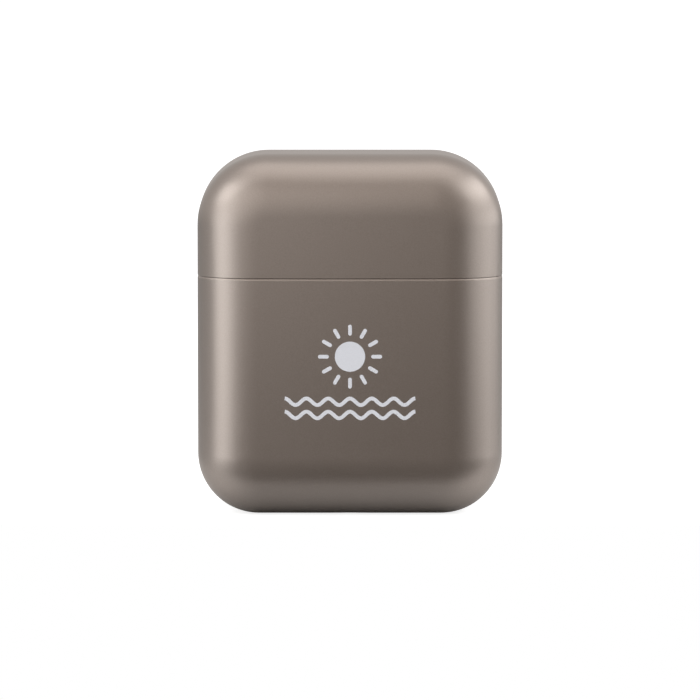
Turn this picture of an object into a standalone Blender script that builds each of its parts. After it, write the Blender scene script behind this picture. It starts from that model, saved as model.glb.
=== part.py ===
"""Flat twist-up sunscreen stick with a pull-off cap.

The product is a double-walled stick pack. Two lacquered outer shells meet at one thin seam. Inside them an
inner case carries the stick on a lift cup, and a spindle with a coarse left-hand thread moves the cup when the
dial in the base is turned. Metres, +Z up, origin at the middle of the base, the front face towards -Y.
"""

from math import cos, hypot, pi, radians, sin, sqrt, tau

import bmesh
import bpy
from mathutils import Matrix

# Outer form
BODY_WIDTH = 0.0507
BODY_DEPTH = 0.0260
BODY_HEIGHT = 0.0600
TOP_CORNER = 0.0118
BASE_CORNER = 0.0102
FACE_ROUND = 0.0086
CAP_STRAIGHT = 0.0083
SEAM_WIDTH = 0.0003
CAP_RIM_ROUND = 0.00015
BODY_RIM_ROUND = 0.0004

# Walls, from the outside in
SHELL_WALL = 0.0013
FOOT_WALL = 0.0016
LINER_WALL = 0.0008
CASE_WALL = 0.0010
CASE_FLOOR = 0.0012
CUP_WALL = 0.0007
CUP_FLOOR = 0.0011
SLEEVE_WALL = 0.0010

# Clearances
FIT_GAP = 0.0003
SLIDE_GAP = 0.00035
HEAD_GAP = 0.0004
ROOF_GAP = 0.0006
CUT_OVERRUN = 0.0010
WELD_DISTANCE = 0.000001

# Collar, shoulder and cap stop
COLLAR_HEIGHT = 0.0031
COLLAR_CHAMFER = 0.00025
SNAP_BEAD_HEIGHT = 0.0007
SNAP_BEAD_RISE = 0.00012
SNAP_BEAD_BELOW_RIM = 0.0010
SHOULDER_HEIGHT = 0.0039
SHOULDER_STEP = 0.0005
FLANGE_THICKNESS = 0.0010
STOP_LEDGE_HEIGHT = 0.0012
STOP_LEDGE_DEPTH = 0.0009

# Lift by a coarse thread
LIFT_TURNS = 3
THREAD_CREST_RADIUS = 0.0036
THREAD_ROOT_RADIUS = 0.0026
THREAD_CREST_WIDTH = 0.0010
THREAD_ROOT_WIDTH = 0.0020
THREAD_BITE = 0.00025
THREAD_TIP = 0.0005
NUT_TURNS = 1
SLEEVE_HEAD_RISE = 0.0030
CUP_REVEAL = 0.0013
CUP_RIM_HEIGHT = 0.0050
CUP_SKIRT_HEIGHT = 0.0030
ANCHOR_RIB_LENGTH = 0.0090
ANCHOR_RIB_WIDTH = 0.0012
ANCHOR_RIB_HEIGHT = 0.0022

# Spindle foot, seal and dial
JOURNAL_RADIUS = 0.0020
FLANGE_RADIUS = 0.0042
KEY_WIDTH = 0.0026
SEAL_CORD = 0.0010
SEAL_SEAT_DEPTH = 0.0005
BOSS_WALL = 0.0014
HUB_RADIUS = 0.0034
DIAL_RADIUS = 0.0062
DIAL_LIP = 0.0010
DIAL_LIP_THICKNESS = 0.0010
DIAL_RECESS = 0.0006
FINGER_POCKET_DEPTH = 0.0017
DIAL_WEB = 0.0006
FINGER_BAR_WIDTH = 0.0024
DIAL_EDGE_WIDTH = 0.0010
DIAL_ROUND = 0.00025

# Seat ribs in the outer case
SEAT_RIB_WIDTH = 0.0011
SEAT_RIB_LENGTH = 0.0030

# Faceting: steps in a quarter turn, or in a full turn
CORNER_STEPS = 8
ROUND_STEPS = 7
PLAN_STEPS = 6
TURN_STEPS = 32
THREAD_STEPS = 20
EDGE_STEPS = 2

# Angles in degrees: edges sharper than the first are rounded, and those under the second shade smoothly
ROUNDED_ANGLE = 50
SMOOTH_ANGLE = 30

# Heights and insets that follow from the sizes above
HALF_WIDTH = BODY_WIDTH / 2
HALF_DEPTH = BODY_DEPTH / 2
SEAM_HEIGHT = BODY_HEIGHT - TOP_CORNER - CAP_STRAIGHT

LINER_INSET = SHELL_WALL + FIT_GAP
LINER_BORE_INSET = LINER_INSET + LINER_WALL
COLLAR_INSET = LINER_BORE_INSET + FIT_GAP
CASE_BORE_INSET = COLLAR_INSET + CASE_WALL
CUP_INSET = CASE_BORE_INSET + SLIDE_GAP
CUP_BORE_INSET = CUP_INSET + CUP_WALL

BODY_RIM = SEAM_HEIGHT - SEAM_WIDTH / 2
CAP_RIM = SEAM_HEIGHT + SEAM_WIDTH / 2
COLLAR_RIM = SEAM_HEIGHT + COLLAR_HEIGHT
SHOULDER_TOP = SEAM_HEIGHT + SHOULDER_STEP
SHOULDER_FOOT = SHOULDER_TOP - SHOULDER_HEIGHT
FLANGE_TOP = SHOULDER_FOOT - FIT_GAP
FLANGE_FOOT = FLANGE_TOP - FLANGE_THICKNESS
LINER_FOOT = SHOULDER_TOP + FIT_GAP
LINER_ROOF = BODY_HEIGHT - LINER_BORE_INSET
LEDGE_FOOT = COLLAR_RIM + FIT_GAP
LEDGE_TOP = LEDGE_FOOT + STOP_LEDGE_HEIGHT

# The case stands as low as its two ends fit the round corners inside the outer case
FOOT_CORNER_FIT = BASE_CORNER - SHELL_WALL - FIT_GAP
CASE_FOOT = BASE_CORNER - sqrt(FOOT_CORNER_FIT ** 2 - (BASE_CORNER - COLLAR_INSET) ** 2)
CASE_FLOOR_TOP = CASE_FOOT + CASE_FLOOR

SEAL_RADIUS = JOURNAL_RADIUS + FIT_GAP + SEAL_CORD / 2
SEAL_SEAT_RADIUS = SEAL_RADIUS + SEAL_CORD / 2 + FIT_GAP
SEAL_SEAT = CASE_FLOOR_TOP - SEAL_SEAT_DEPTH
SEAL_CENTRE = SEAL_SEAT + FIT_GAP + SEAL_CORD / 2
SPINDLE_FLANGE_FOOT = SEAL_CENTRE + SEAL_CORD / 2 + FIT_GAP
SPINDLE_FLANGE_TOP = SPINDLE_FLANGE_FOOT + FLANGE_THICKNESS

SLEEVE_FOOT = SPINDLE_FLANGE_TOP + FIT_GAP
SLEEVE_BORE = THREAD_CREST_RADIUS + FIT_GAP
SLEEVE_RADIUS = SLEEVE_BORE + SLEEVE_WALL
SPINDLE_END = THREAD_ROOT_WIDTH / 2 + FIT_GAP
NUT_RIDGE_FOOT = SLEEVE_FOOT + THREAD_ROOT_WIDTH / 2 + FIT_GAP * 2

# The sleeve's head stands in the cup at a set height, and the raised cup's floor ends just below the collar's
# rim. The lead is the one that makes both true for the number of turns.
RAISED_CUP_FLOOR = COLLAR_RIM - CUP_REVEAL
THREAD_ROOM = RAISED_CUP_FLOOR + SLEEVE_HEAD_RISE - NUT_RIDGE_FOOT - SPINDLE_END - HEAD_GAP - SLEEVE_WALL
THREAD_LEAD = THREAD_ROOM / (2 * LIFT_TURNS + NUT_TURNS)
LIFT_STROKE = THREAD_LEAD * LIFT_TURNS
NUT_RIDGE_TOP = NUT_RIDGE_FOOT + THREAD_LEAD * NUT_TURNS
SPINDLE_RIDGE_TOP = NUT_RIDGE_TOP + LIFT_STROKE
SPINDLE_TOP = SPINDLE_RIDGE_TOP + SPINDLE_END
SLEEVE_DOME = SPINDLE_TOP + HEAD_GAP
SLEEVE_TOP = SLEEVE_DOME + SLEEVE_WALL

CUP_FLOOR_TOP = RAISED_CUP_FLOOR - LIFT_STROKE
CUP_FLOOR_FOOT = CUP_FLOOR_TOP - CUP_FLOOR
CUP_RIM = CUP_FLOOR_TOP + CUP_RIM_HEIGHT
CUP_FOOT = CUP_FLOOR_FOOT - CUP_SKIRT_HEIGHT

# The raised stick just clears the cap's roof, and its corners are as round as the roof's
BALM_TOP = LINER_ROOF - ROOF_GAP - LIFT_STROKE
BALM_CORNER = TOP_CORNER - LINER_BORE_INSET

POCKET_TOP = DIAL_RECESS + FINGER_POCKET_DEPTH
SOCKET_FOOT = POCKET_TOP + DIAL_WEB

# The dial's lip clears the floor of the outer case and the round at the floor's front and back
DIAL_LIP_RADIUS = DIAL_RADIUS + DIAL_LIP
LIP_PAST_FLOOR = max(DIAL_LIP_RADIUS - (HALF_DEPTH - FACE_ROUND), 0)
ROUND_UNDER_LIP = FACE_ROUND - sqrt((FACE_ROUND - SHELL_WALL - FIT_GAP) ** 2 - LIP_PAST_FLOOR ** 2)
DIAL_LIP_FOOT = max(FOOT_WALL + FIT_GAP, ROUND_UNDER_LIP)
DIAL_LIP_TOP = DIAL_LIP_FOOT + DIAL_LIP_THICKNESS


def clear_scene():
    """Remove what the file holds, so that only the product is in it."""
    for obj in list(bpy.data.objects):
        bpy.data.objects.remove(obj, do_unlink=True)


def make_collection(name):
    collection = bpy.data.collections.new(name)
    bpy.context.scene.collection.children.link(collection)
    return collection


def srgb(code):
    """Linear colour of an sRGB hex code."""
    channels = [int(code[i:i + 2], 16) / 255 for i in (0, 2, 4)]
    linear = [c / 12.92 if c <= 0.04045 else ((c + 0.055) / 1.055) ** 2.4 for c in channels]
    return (*linear, 1)


def make_material(name, code, roughness, metallic=0):
    material = bpy.data.materials.new(name)
    material.use_nodes = True
    shader = material.node_tree.nodes["Principled BSDF"]
    shader.inputs["Base Color"].default_value = srgb(code)
    shader.inputs["Roughness"].default_value = roughness
    shader.inputs["Metallic"].default_value = metallic
    material.diffuse_color = srgb(code)
    return material


def add_object(name, mesh, collection):
    obj = bpy.data.objects.new(name, mesh)
    collection.objects.link(obj)
    return obj


def mesh_from(bm, name):
    """Turn a bmesh into a mesh with its faces pointing out."""
    bmesh.ops.recalc_face_normals(bm, faces=bm.faces)
    mesh = bpy.data.meshes.new(name)
    bm.to_mesh(mesh)
    bm.free()
    return mesh


def arc(centre, radius, start, end, steps):
    """Points on an arc, both ends included."""
    angles = [start + (end - start) * i / steps for i in range(steps + 1)]
    return [(centre[0] + radius * cos(a), centre[1] + radius * sin(a)) for a in angles]


def rounded_outline(half, low, high, low_corner, high_corner, steps):
    """Anticlockwise outline of a rectangle from low to high with one corner radius at each end."""
    return (
        arc((half - low_corner, low + low_corner), low_corner, -pi / 2, 0, steps)
        + arc((half - high_corner, high - high_corner), high_corner, 0, pi / 2, steps)
        + arc((high_corner - half, high - high_corner), high_corner, pi / 2, pi, steps)
        + arc((low_corner - half, low + low_corner), low_corner, pi, 3 * pi / 2, steps)
    )


def extrude_outline(points, place, travel):
    """Close an outline with a face and extrude it, and return the bmesh with its two end loops."""
    bm = bmesh.new()
    face = bm.faces.new([bm.verts.new(place(u, v)) for u, v in points])
    near = list(face.edges)
    result = bmesh.ops.extrude_face_region(bm, geom=[face], use_keep_orig=True)
    far_verts = [item for item in result["geom"] if isinstance(item, bmesh.types.BMVert)]
    far = [item for item in result["geom"] if isinstance(item, bmesh.types.BMEdge)]
    bmesh.ops.translate(bm, verts=far_verts, vec=travel)
    return bm, near + far


def round_edges(bm, edges, radius, steps):
    """Round edges to a radius, or chamfer them where the steps are one."""
    half_round = 0.5
    bmesh.ops.bevel(
        bm,
        geom=edges,
        offset=radius,
        offset_type="OFFSET",
        segments=steps,
        profile=half_round,
        affect="EDGES",
        clamp_overlap=False,
    )


def soap_form(name, collection, inset):
    """The product's outer form, drawn in by an inset: a plate with round corners and fully rolled faces."""
    half_depth = HALF_DEPTH - inset
    points = rounded_outline(
        HALF_WIDTH - inset, inset, BODY_HEIGHT - inset, BASE_CORNER - inset, TOP_CORNER - inset, CORNER_STEPS
    )
    bm, rims = extrude_outline(points, lambda u, v: (u, -half_depth, v), (0, 2 * half_depth, 0))
    round_edges(bm, rims, FACE_ROUND - inset, ROUND_STEPS)
    return add_object(name, mesh_from(bm, name), collection)


def prism(name, collection, inset, low, high, chamfer=0):
    """An upright block with the product's plan drawn in by an inset."""
    corner = FACE_ROUND - inset
    half_depth = HALF_DEPTH - inset
    points = rounded_outline(HALF_WIDTH - inset, -half_depth, half_depth, corner, corner, PLAN_STEPS)
    bm, rims = extrude_outline(points, lambda u, v: (u, v, low), (0, 0, high - low))
    if chamfer:
        round_edges(bm, rims, chamfer, 1)
    return add_object(name, mesh_from(bm, name), collection)


def block(name, collection, size, centre):
    bm = bmesh.new()
    bmesh.ops.create_cube(bm, size=1, matrix=Matrix.Translation(centre) @ Matrix.Diagonal((*size, 1)))
    return add_object(name, mesh_from(bm, name), collection)


def drum(name, collection, radius, low, high):
    """An upright cylinder on the product's axis, its corners turned off those of the turned solids."""
    bm = bmesh.new()
    quarter_facet = Matrix.Rotation(tau / TURN_STEPS / 4, 4, "Z")
    bmesh.ops.create_cone(
        bm,
        cap_ends=True,
        segments=TURN_STEPS,
        radius1=radius,
        radius2=radius,
        depth=high - low,
        matrix=Matrix.Translation((0, 0, (low + high) / 2)) @ quarter_facet,
    )
    return add_object(name, mesh_from(bm, name), collection)


def turned(name, collection, profile):
    """A turned solid from a profile of radius and height, listed from its top on the axis to its foot."""
    mesh = bpy.data.meshes.new(name)
    half_facet = tau / TURN_STEPS / 2
    points = [(radius * cos(half_facet), radius * sin(half_facet), height) for radius, height in profile]
    mesh.from_pydata(points, [(i, i + 1) for i in range(len(profile) - 1)], [])
    obj = add_object(name, mesh, collection)
    screw = obj.modifiers.new("Turn", "SCREW")
    screw.steps = TURN_STEPS
    screw.render_steps = TURN_STEPS
    screw.use_merge_vertices = True
    screw.merge_threshold = WELD_DISTANCE
    return obj


def thread_ridge(name, collection, foot, top, root, crest, root_width, crest_width, turn=0):
    """A left-hand thread ridge: a trapezoid swept down a helix from its top, with both ends closed.

    Root and crest are radii, and the ridge grows out of the root, which may be the larger of the two.
    The turn about the axis sets the side on which the ridge ends.
    """
    profile = bpy.data.meshes.new(name + "_profile")
    corners = [(root, root_width / 2), (crest, crest_width / 2), (crest, -crest_width / 2), (root, -root_width / 2)]
    profile.from_pydata([(r, 0, top + z) for r, z in corners], [(0, 1), (1, 2), (2, 3), (3, 0)], [])
    sweep = add_object(name + "_sweep", profile, collection)
    turns = (top - foot) / THREAD_LEAD
    screw = sweep.modifiers.new("Helix", "SCREW")
    screw.angle = tau * turns
    screw.screw_offset = foot - top
    screw.steps = round(THREAD_STEPS * turns)
    screw.render_steps = screw.steps
    screw.use_merge_vertices = False
    evaluated = sweep.evaluated_get(bpy.context.evaluated_depsgraph_get())
    bm = bmesh.new()
    bm.from_mesh(bpy.data.meshes.new_from_object(evaluated))
    bpy.data.objects.remove(sweep, do_unlink=True)
    bmesh.ops.holes_fill(bm, edges=[edge for edge in bm.edges if edge.is_boundary])
    bmesh.ops.rotate(bm, verts=bm.verts, matrix=Matrix.Rotation(turn, 3, "Z"))
    return add_object(name, mesh_from(bm, name), collection)


def boolean(target, tool, operation):
    modifier = target.modifiers.new(operation.title() + " " + tool.name, "BOOLEAN")
    modifier.operation = operation
    modifier.solver = "EXACT"
    modifier.object = tool
    tool.hide_render = True
    tool.display_type = "WIRE"


def cut(target, *tools):
    for tool in tools:
        boolean(target, tool, "DIFFERENCE")


def join(target, *tools):
    for tool in tools:
        boolean(target, tool, "UNION")


def round_sharp_edges(obj, radius):
    """Round the sharp edges, as the solid stands before its later cuts."""
    bevel = obj.modifiers.new("Broken edges", "BEVEL")
    bevel.width = radius
    bevel.segments = EDGE_STEPS
    bevel.limit_method = "ANGLE"
    bevel.angle_limit = radians(ROUNDED_ANGLE)
    bevel.use_clamp_overlap = True


def finish(obj, material):
    """Give a piece its material and smooth shading with crisp edges."""
    obj.data.materials.append(material)
    obj.data.shade_smooth()
    obj.data.set_sharp_from_angle(angle=radians(SMOOTH_ANGLE))
    return obj


def make_cap_shell(parts, tools, material):
    """Outer cap: the top of the soap form, open below, down to its half of the seam."""
    cap = soap_form("cap_shell", parts, 0)
    hollow = soap_form("cap_shell_hollow", tools, SHELL_WALL)
    below = block(
        "below_seam",
        tools,
        (BODY_WIDTH * 2, BODY_DEPTH * 2, CAP_RIM + CUT_OVERRUN),
        (0, 0, (CAP_RIM - CUT_OVERRUN) / 2),
    )
    cut(cap, below)
    round_sharp_edges(cap, CAP_RIM_ROUND)
    cut(cap, hollow)
    return finish(cap, material)


def make_cap_liner(parts, tools, material):
    """Inner cap: a skirt that grips the collar, a ledge that stops on the collar's rim, and a roof."""
    liner = soap_form("cap_liner", parts, LINER_INSET)
    hollow = soap_form("cap_liner_hollow", tools, LINER_BORE_INSET)
    ledge = block(
        "stop_ledge",
        tools,
        (BODY_WIDTH * 2, BODY_DEPTH * 2, STOP_LEDGE_HEIGHT),
        (0, 0, (LEDGE_FOOT + LEDGE_TOP) / 2),
    )
    cut(hollow, ledge)
    passage_inset = LINER_BORE_INSET + STOP_LEDGE_DEPTH
    passage = prism("stick_passage", tools, passage_inset, LEDGE_FOOT - CUT_OVERRUN, LEDGE_TOP + CUT_OVERRUN)
    below = block(
        "below_liner",
        tools,
        (BODY_WIDTH * 2, BODY_DEPTH * 2, LINER_FOOT + CUT_OVERRUN),
        (0, 0, (LINER_FOOT - CUT_OVERRUN) / 2),
    )
    cut(liner, hollow, passage, below)
    return finish(liner, material)


def make_body_shell(parts, tools, material):
    """Outer case: the foot of the soap form, open at the seam, with the dial's hole and four seat ribs."""
    shell = soap_form("body_shell", parts, 0)
    hollow = soap_form("body_shell_hollow", tools, SHELL_WALL)
    floor = block(
        "thick_foot",
        tools,
        (BODY_WIDTH * 2, BODY_DEPTH * 2, FOOT_WALL * 2),
        (0, 0, 0),
    )
    cut(hollow, floor)
    rib_reach = HALF_WIDTH - BASE_CORNER
    rib_top = CASE_FOOT - FIT_GAP
    for side, word in ((-1, "left"), (1, "right")):
        rib = block(
            "seat_rib_" + word,
            tools,
            (SEAT_RIB_LENGTH, SEAT_RIB_WIDTH, rib_top * 2),
            (side * (rib_reach - SEAT_RIB_LENGTH / 2), 0, 0),
        )
        cross = block(
            "seat_cross_rib_" + word,
            tools,
            (SEAT_RIB_WIDTH, BODY_DEPTH, rib_top * 2),
            (side * rib_reach, 0, 0),
        )
        cut(hollow, rib, cross)
    above = block(
        "above_seam",
        tools,
        (BODY_WIDTH * 2, BODY_DEPTH * 2, BODY_HEIGHT),
        (0, 0, BODY_RIM + BODY_HEIGHT / 2),
    )
    hole = drum("dial_hole", tools, DIAL_RADIUS + FIT_GAP, -CUT_OVERRUN, FOOT_WALL + CUT_OVERRUN)
    cut(shell, above, hole)
    round_sharp_edges(shell, BODY_RIM_ROUND)
    cut(shell, hollow)
    return finish(shell, material)


def make_shoulder_ring(parts, tools, material):
    """Ring between the two cases: it rests on the inner case's flange and stands a step above the seam."""
    ring = prism("shoulder_ring", parts, LINER_INSET, SHOULDER_FOOT, SHOULDER_TOP, COLLAR_CHAMFER)
    bore = prism(
        "shoulder_bore", tools, COLLAR_INSET - FIT_GAP, SHOULDER_FOOT - CUT_OVERRUN, SHOULDER_TOP + CUT_OVERRUN
    )
    cut(ring, bore)
    return finish(ring, material)


def make_inner_case(parts, tools, material):
    """Barrel: collar with a snap bead, flange for the shoulder ring, floor with the spindle's bearing."""
    case = prism("inner_case", parts, COLLAR_INSET, CASE_FOOT, COLLAR_RIM, COLLAR_CHAMFER)
    flange = prism("case_flange", tools, LINER_INSET, FLANGE_FOOT, FLANGE_TOP)
    bead_top = COLLAR_RIM - SNAP_BEAD_BELOW_RIM
    bead = prism(
        "snap_bead", tools, COLLAR_INSET - SNAP_BEAD_RISE, bead_top - SNAP_BEAD_HEIGHT, bead_top, SNAP_BEAD_RISE / 2
    )
    boss_radius = HUB_RADIUS + FIT_GAP + BOSS_WALL
    boss = drum("bearing_boss", tools, boss_radius, DIAL_LIP_TOP + FIT_GAP, CASE_FLOOR_TOP - CASE_FLOOR / 2)
    hub_room = drum("hub_room", tools, HUB_RADIUS + FIT_GAP, DIAL_LIP_TOP - CUT_OVERRUN, CASE_FOOT)
    bore = prism("case_bore", tools, CASE_BORE_INSET, CASE_FLOOR_TOP, COLLAR_RIM + CUT_OVERRUN)
    bearing = drum("bearing_bore", tools, JOURNAL_RADIUS + FIT_GAP, CASE_FOOT - CUT_OVERRUN, CASE_FLOOR_TOP)
    seat = drum("seal_seat", tools, SEAL_SEAT_RADIUS, SEAL_SEAT, CASE_FLOOR_TOP + CUT_OVERRUN)
    join(case, flange, bead, boss)
    cut(case, bore, hub_room, bearing, seat)
    return finish(case, material)


def make_lift_cup(parts, tools, material):
    """Elevator: a shallow cup for the stick's foot, a guiding skirt, and the nut sleeve with its thread."""
    cup = prism("lift_cup", parts, CUP_INSET, CUP_FOOT, CUP_RIM)
    room = prism("cup_room", tools, CUP_BORE_INSET, CUP_FLOOR_TOP, CUP_RIM + CUT_OVERRUN)
    skirt = prism("skirt_room", tools, CUP_BORE_INSET, CUP_FOOT - CUT_OVERRUN, CUP_FLOOR_FOOT)
    sleeve = drum("nut_sleeve", tools, SLEEVE_RADIUS, SLEEVE_FOOT, SLEEVE_TOP)
    sleeve_bore = drum("nut_bore", tools, SLEEVE_BORE, SLEEVE_FOOT - CUT_OVERRUN, SLEEVE_DOME)
    cut(cup, room, skirt)
    for side, word in ((-1, "left"), (1, "right")):
        rib = block(
            "anchor_rib_" + word,
            tools,
            (ANCHOR_RIB_LENGTH, ANCHOR_RIB_WIDTH, ANCHOR_RIB_HEIGHT + CUP_FLOOR / 2),
            (side * anchor_rib_place(), 0, CUP_FLOOR_TOP + ANCHOR_RIB_HEIGHT / 2 - CUP_FLOOR / 4),
        )
        join(cup, rib)
    join(cup, sleeve)
    cut(cup, sleeve_bore)
    ridge = thread_ridge(
        "nut_thread",
        tools,
        NUT_RIDGE_FOOT,
        NUT_RIDGE_TOP,
        SLEEVE_BORE + THREAD_BITE,
        THREAD_ROOT_RADIUS + FIT_GAP,
        THREAD_LEAD - THREAD_CREST_WIDTH - 2 * thread_side_gap(),
        THREAD_LEAD - THREAD_ROOT_WIDTH - 2 * thread_side_gap(),
        nut_phase(),
    )
    join(cup, ridge)
    return finish(cup, material)


def anchor_rib_place():
    """Distance from the axis to the middle of an anchor rib, halfway between the sleeve and the cup's wall."""
    return (SLEEVE_RADIUS + HALF_WIDTH - CUP_BORE_INSET) / 2


def thread_side_gap():
    """Axial gap at each flank that leaves the fit gap square to the flank."""
    rise = (THREAD_ROOT_WIDTH - THREAD_CREST_WIDTH) / 2
    height = THREAD_CREST_RADIUS - THREAD_ROOT_RADIUS
    return FIT_GAP * hypot(rise, height) / height


def nut_phase():
    """Turn of the nut's thread that puts its ridge halfway between the ridges of the spindle."""
    leads = (SPINDLE_RIDGE_TOP - NUT_RIDGE_TOP) / THREAD_LEAD - 1 / 2
    return tau * (leads % 1)


def make_spindle(parts, tools, material):
    """Screw: square key in the dial, journal in the case floor, flange over the seal, left-hand thread."""
    spindle = turned(
        "spindle",
        parts,
        [
            (0, SPINDLE_TOP),
            (THREAD_ROOT_RADIUS - THREAD_TIP, SPINDLE_TOP),
            (THREAD_ROOT_RADIUS, SPINDLE_TOP - THREAD_TIP),
            (THREAD_ROOT_RADIUS, SPINDLE_FLANGE_TOP),
            (FLANGE_RADIUS, SPINDLE_FLANGE_TOP),
            (FLANGE_RADIUS, SPINDLE_FLANGE_FOOT),
            (JOURNAL_RADIUS, SPINDLE_FLANGE_FOOT),
            (JOURNAL_RADIUS, CASE_FOOT - FIT_GAP),
            (0, CASE_FOOT - FIT_GAP),
        ],
    )
    ridge = thread_ridge(
        "spindle_thread",
        tools,
        SLEEVE_FOOT + THREAD_ROOT_WIDTH / 2,
        SPINDLE_RIDGE_TOP,
        THREAD_ROOT_RADIUS - THREAD_BITE,
        THREAD_CREST_RADIUS,
        THREAD_ROOT_WIDTH,
        THREAD_CREST_WIDTH,
    )
    key_foot = SOCKET_FOOT + FIT_GAP
    key = block(
        "spindle_key",
        tools,
        (KEY_WIDTH, KEY_WIDTH, CASE_FOOT - key_foot),
        (0, 0, (CASE_FOOT + key_foot) / 2),
    )
    join(spindle, ridge, key)
    return finish(spindle, material)


def make_spindle_seal(parts, material):
    """Ring seal in the seat of the case floor, under the spindle's flange."""
    bpy.ops.mesh.primitive_torus_add(
        major_radius=SEAL_RADIUS,
        minor_radius=SEAL_CORD / 2,
        major_segments=TURN_STEPS,
        minor_segments=CORNER_STEPS,
        location=(0, 0, SEAL_CENTRE),
    )
    seal = bpy.context.object
    seal.name = "spindle_seal"
    seal.data.name = seal.name
    for collection in seal.users_collection:
        collection.objects.unlink(seal)
    parts.objects.link(seal)
    return finish(seal, material)


def make_dial(parts, tools, material):
    """Turning knob: a disc in the shell's hole, a lip above the shell's foot, a hub with the key's socket."""
    hub_top = CASE_FOOT - FIT_GAP
    dial = turned(
        "dial",
        parts,
        [
            (0, hub_top),
            (HUB_RADIUS - DIAL_ROUND, hub_top),
            (HUB_RADIUS, hub_top - DIAL_ROUND),
            (HUB_RADIUS, DIAL_LIP_TOP),
            (DIAL_LIP_RADIUS, DIAL_LIP_TOP),
            (DIAL_LIP_RADIUS, DIAL_LIP_FOOT),
            (DIAL_RADIUS, DIAL_LIP_FOOT),
            (DIAL_RADIUS, DIAL_RECESS + DIAL_ROUND),
            (DIAL_RADIUS - DIAL_ROUND, DIAL_RECESS),
            (0, DIAL_RECESS),
        ],
    )
    pocket = drum(
        "finger_pocket",
        tools,
        DIAL_RADIUS - DIAL_EDGE_WIDTH,
        DIAL_RECESS - CUT_OVERRUN,
        POCKET_TOP,
    )
    bar = block(
        "finger_bar",
        tools,
        (DIAL_RADIUS * 2, FINGER_BAR_WIDTH, (POCKET_TOP + CUT_OVERRUN) * 2),
        (0, 0, 0),
    )
    cut(pocket, bar)
    socket = block(
        "key_socket",
        tools,
        (KEY_WIDTH + 2 * FIT_GAP, KEY_WIDTH + 2 * FIT_GAP, hub_top),
        (0, 0, SOCKET_FOOT + hub_top / 2),
    )
    cut(dial, pocket, socket)
    return finish(dial, material)


def make_balm_stick(parts, tools, material):
    """Sunscreen block: a foot inside the cup, then the full bore of the case, with a rounded head."""
    radius = FACE_ROUND - CUP_INSET
    half_depth = HALF_DEPTH - CUP_INSET
    foot = CUP_RIM + FIT_GAP
    points = rounded_outline(
        HALF_WIDTH - CUP_INSET, foot - BALM_CORNER * 2, BALM_TOP, BALM_CORNER, BALM_CORNER, CORNER_STEPS
    )
    bm, rims = extrude_outline(points, lambda u, v: (u, -half_depth, v), (0, 2 * half_depth, 0))
    round_edges(bm, rims, radius, ROUND_STEPS)
    balm = add_object("balm_stick", mesh_from(bm, "balm_stick"), parts)
    below = block(
        "below_balm",
        tools,
        (BODY_WIDTH * 2, BODY_DEPTH * 2, foot),
        (0, 0, foot / 2),
    )
    plug_foot = CUP_FLOOR_TOP + FIT_GAP
    plug = prism("balm_plug", tools, CUP_BORE_INSET + FIT_GAP, plug_foot, foot + CUT_OVERRUN)
    sleeve_room = drum(
        "balm_bore", tools, SLEEVE_RADIUS + FIT_GAP, plug_foot - CUT_OVERRUN, SLEEVE_TOP + FIT_GAP
    )
    cut(balm, below)
    join(balm, plug)
    for side, word in ((-1, "left"), (1, "right")):
        slot = block(
            "anchor_slot_" + word,
            tools,
            (
                ANCHOR_RIB_LENGTH + 2 * FIT_GAP,
                ANCHOR_RIB_WIDTH + 2 * FIT_GAP,
                ANCHOR_RIB_HEIGHT + FIT_GAP + CUT_OVERRUN,
            ),
            (side * anchor_rib_place(), 0, CUP_FLOOR_TOP + (ANCHOR_RIB_HEIGHT + FIT_GAP - CUT_OVERRUN) / 2),
        )
        cut(balm, slot)
    cut(balm, sleeve_room)
    return finish(balm, material)


def main():
    clear_scene()
    parts = make_collection("sunscreen_stick")
    tools = make_collection("cutters")
    lacquer = make_material("taupe_lacquer", "7A716A", roughness=0.35, metallic=0.8)
    inner_plastic = make_material("grey_inner_plastic", "8C8480", roughness=0.45)
    mechanism_plastic = make_material("white_mechanism_plastic", "E9E7E2", roughness=0.4)
    dial_plastic = make_material("taupe_dial_plastic", "6E645D", roughness=0.5)
    seal_rubber = make_material("clear_seal_rubber", "D9D9D6", roughness=0.6)
    balm = make_material("ivory_balm", "F2EBDD", roughness=0.5)
    make_cap_shell(parts, tools, lacquer)
    make_cap_liner(parts, tools, inner_plastic)
    make_body_shell(parts, tools, lacquer)
    make_shoulder_ring(parts, tools, inner_plastic)
    make_inner_case(parts, tools, inner_plastic)
    make_lift_cup(parts, tools, mechanism_plastic)
    make_spindle(parts, tools, mechanism_plastic)
    make_spindle_seal(parts, seal_rubber)
    make_dial(parts, tools, dial_plastic)
    make_balm_stick(parts, tools, balm)


main()
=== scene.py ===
"""Looks for a flat twist-up sunscreen stick, laid out as a Blender add-on and run as a script.

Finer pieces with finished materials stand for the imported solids, which stay where they are. The stage holds
the camera, the floor and the studio light. Metres, +Z up, the front face towards -Y.
"""

from contextlib import contextmanager
from math import atan2, copysign, cos, hypot, inf, pi, radians, sin, tan, tau

import bmesh
import bpy
from mathutils import Matrix, Vector


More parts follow.
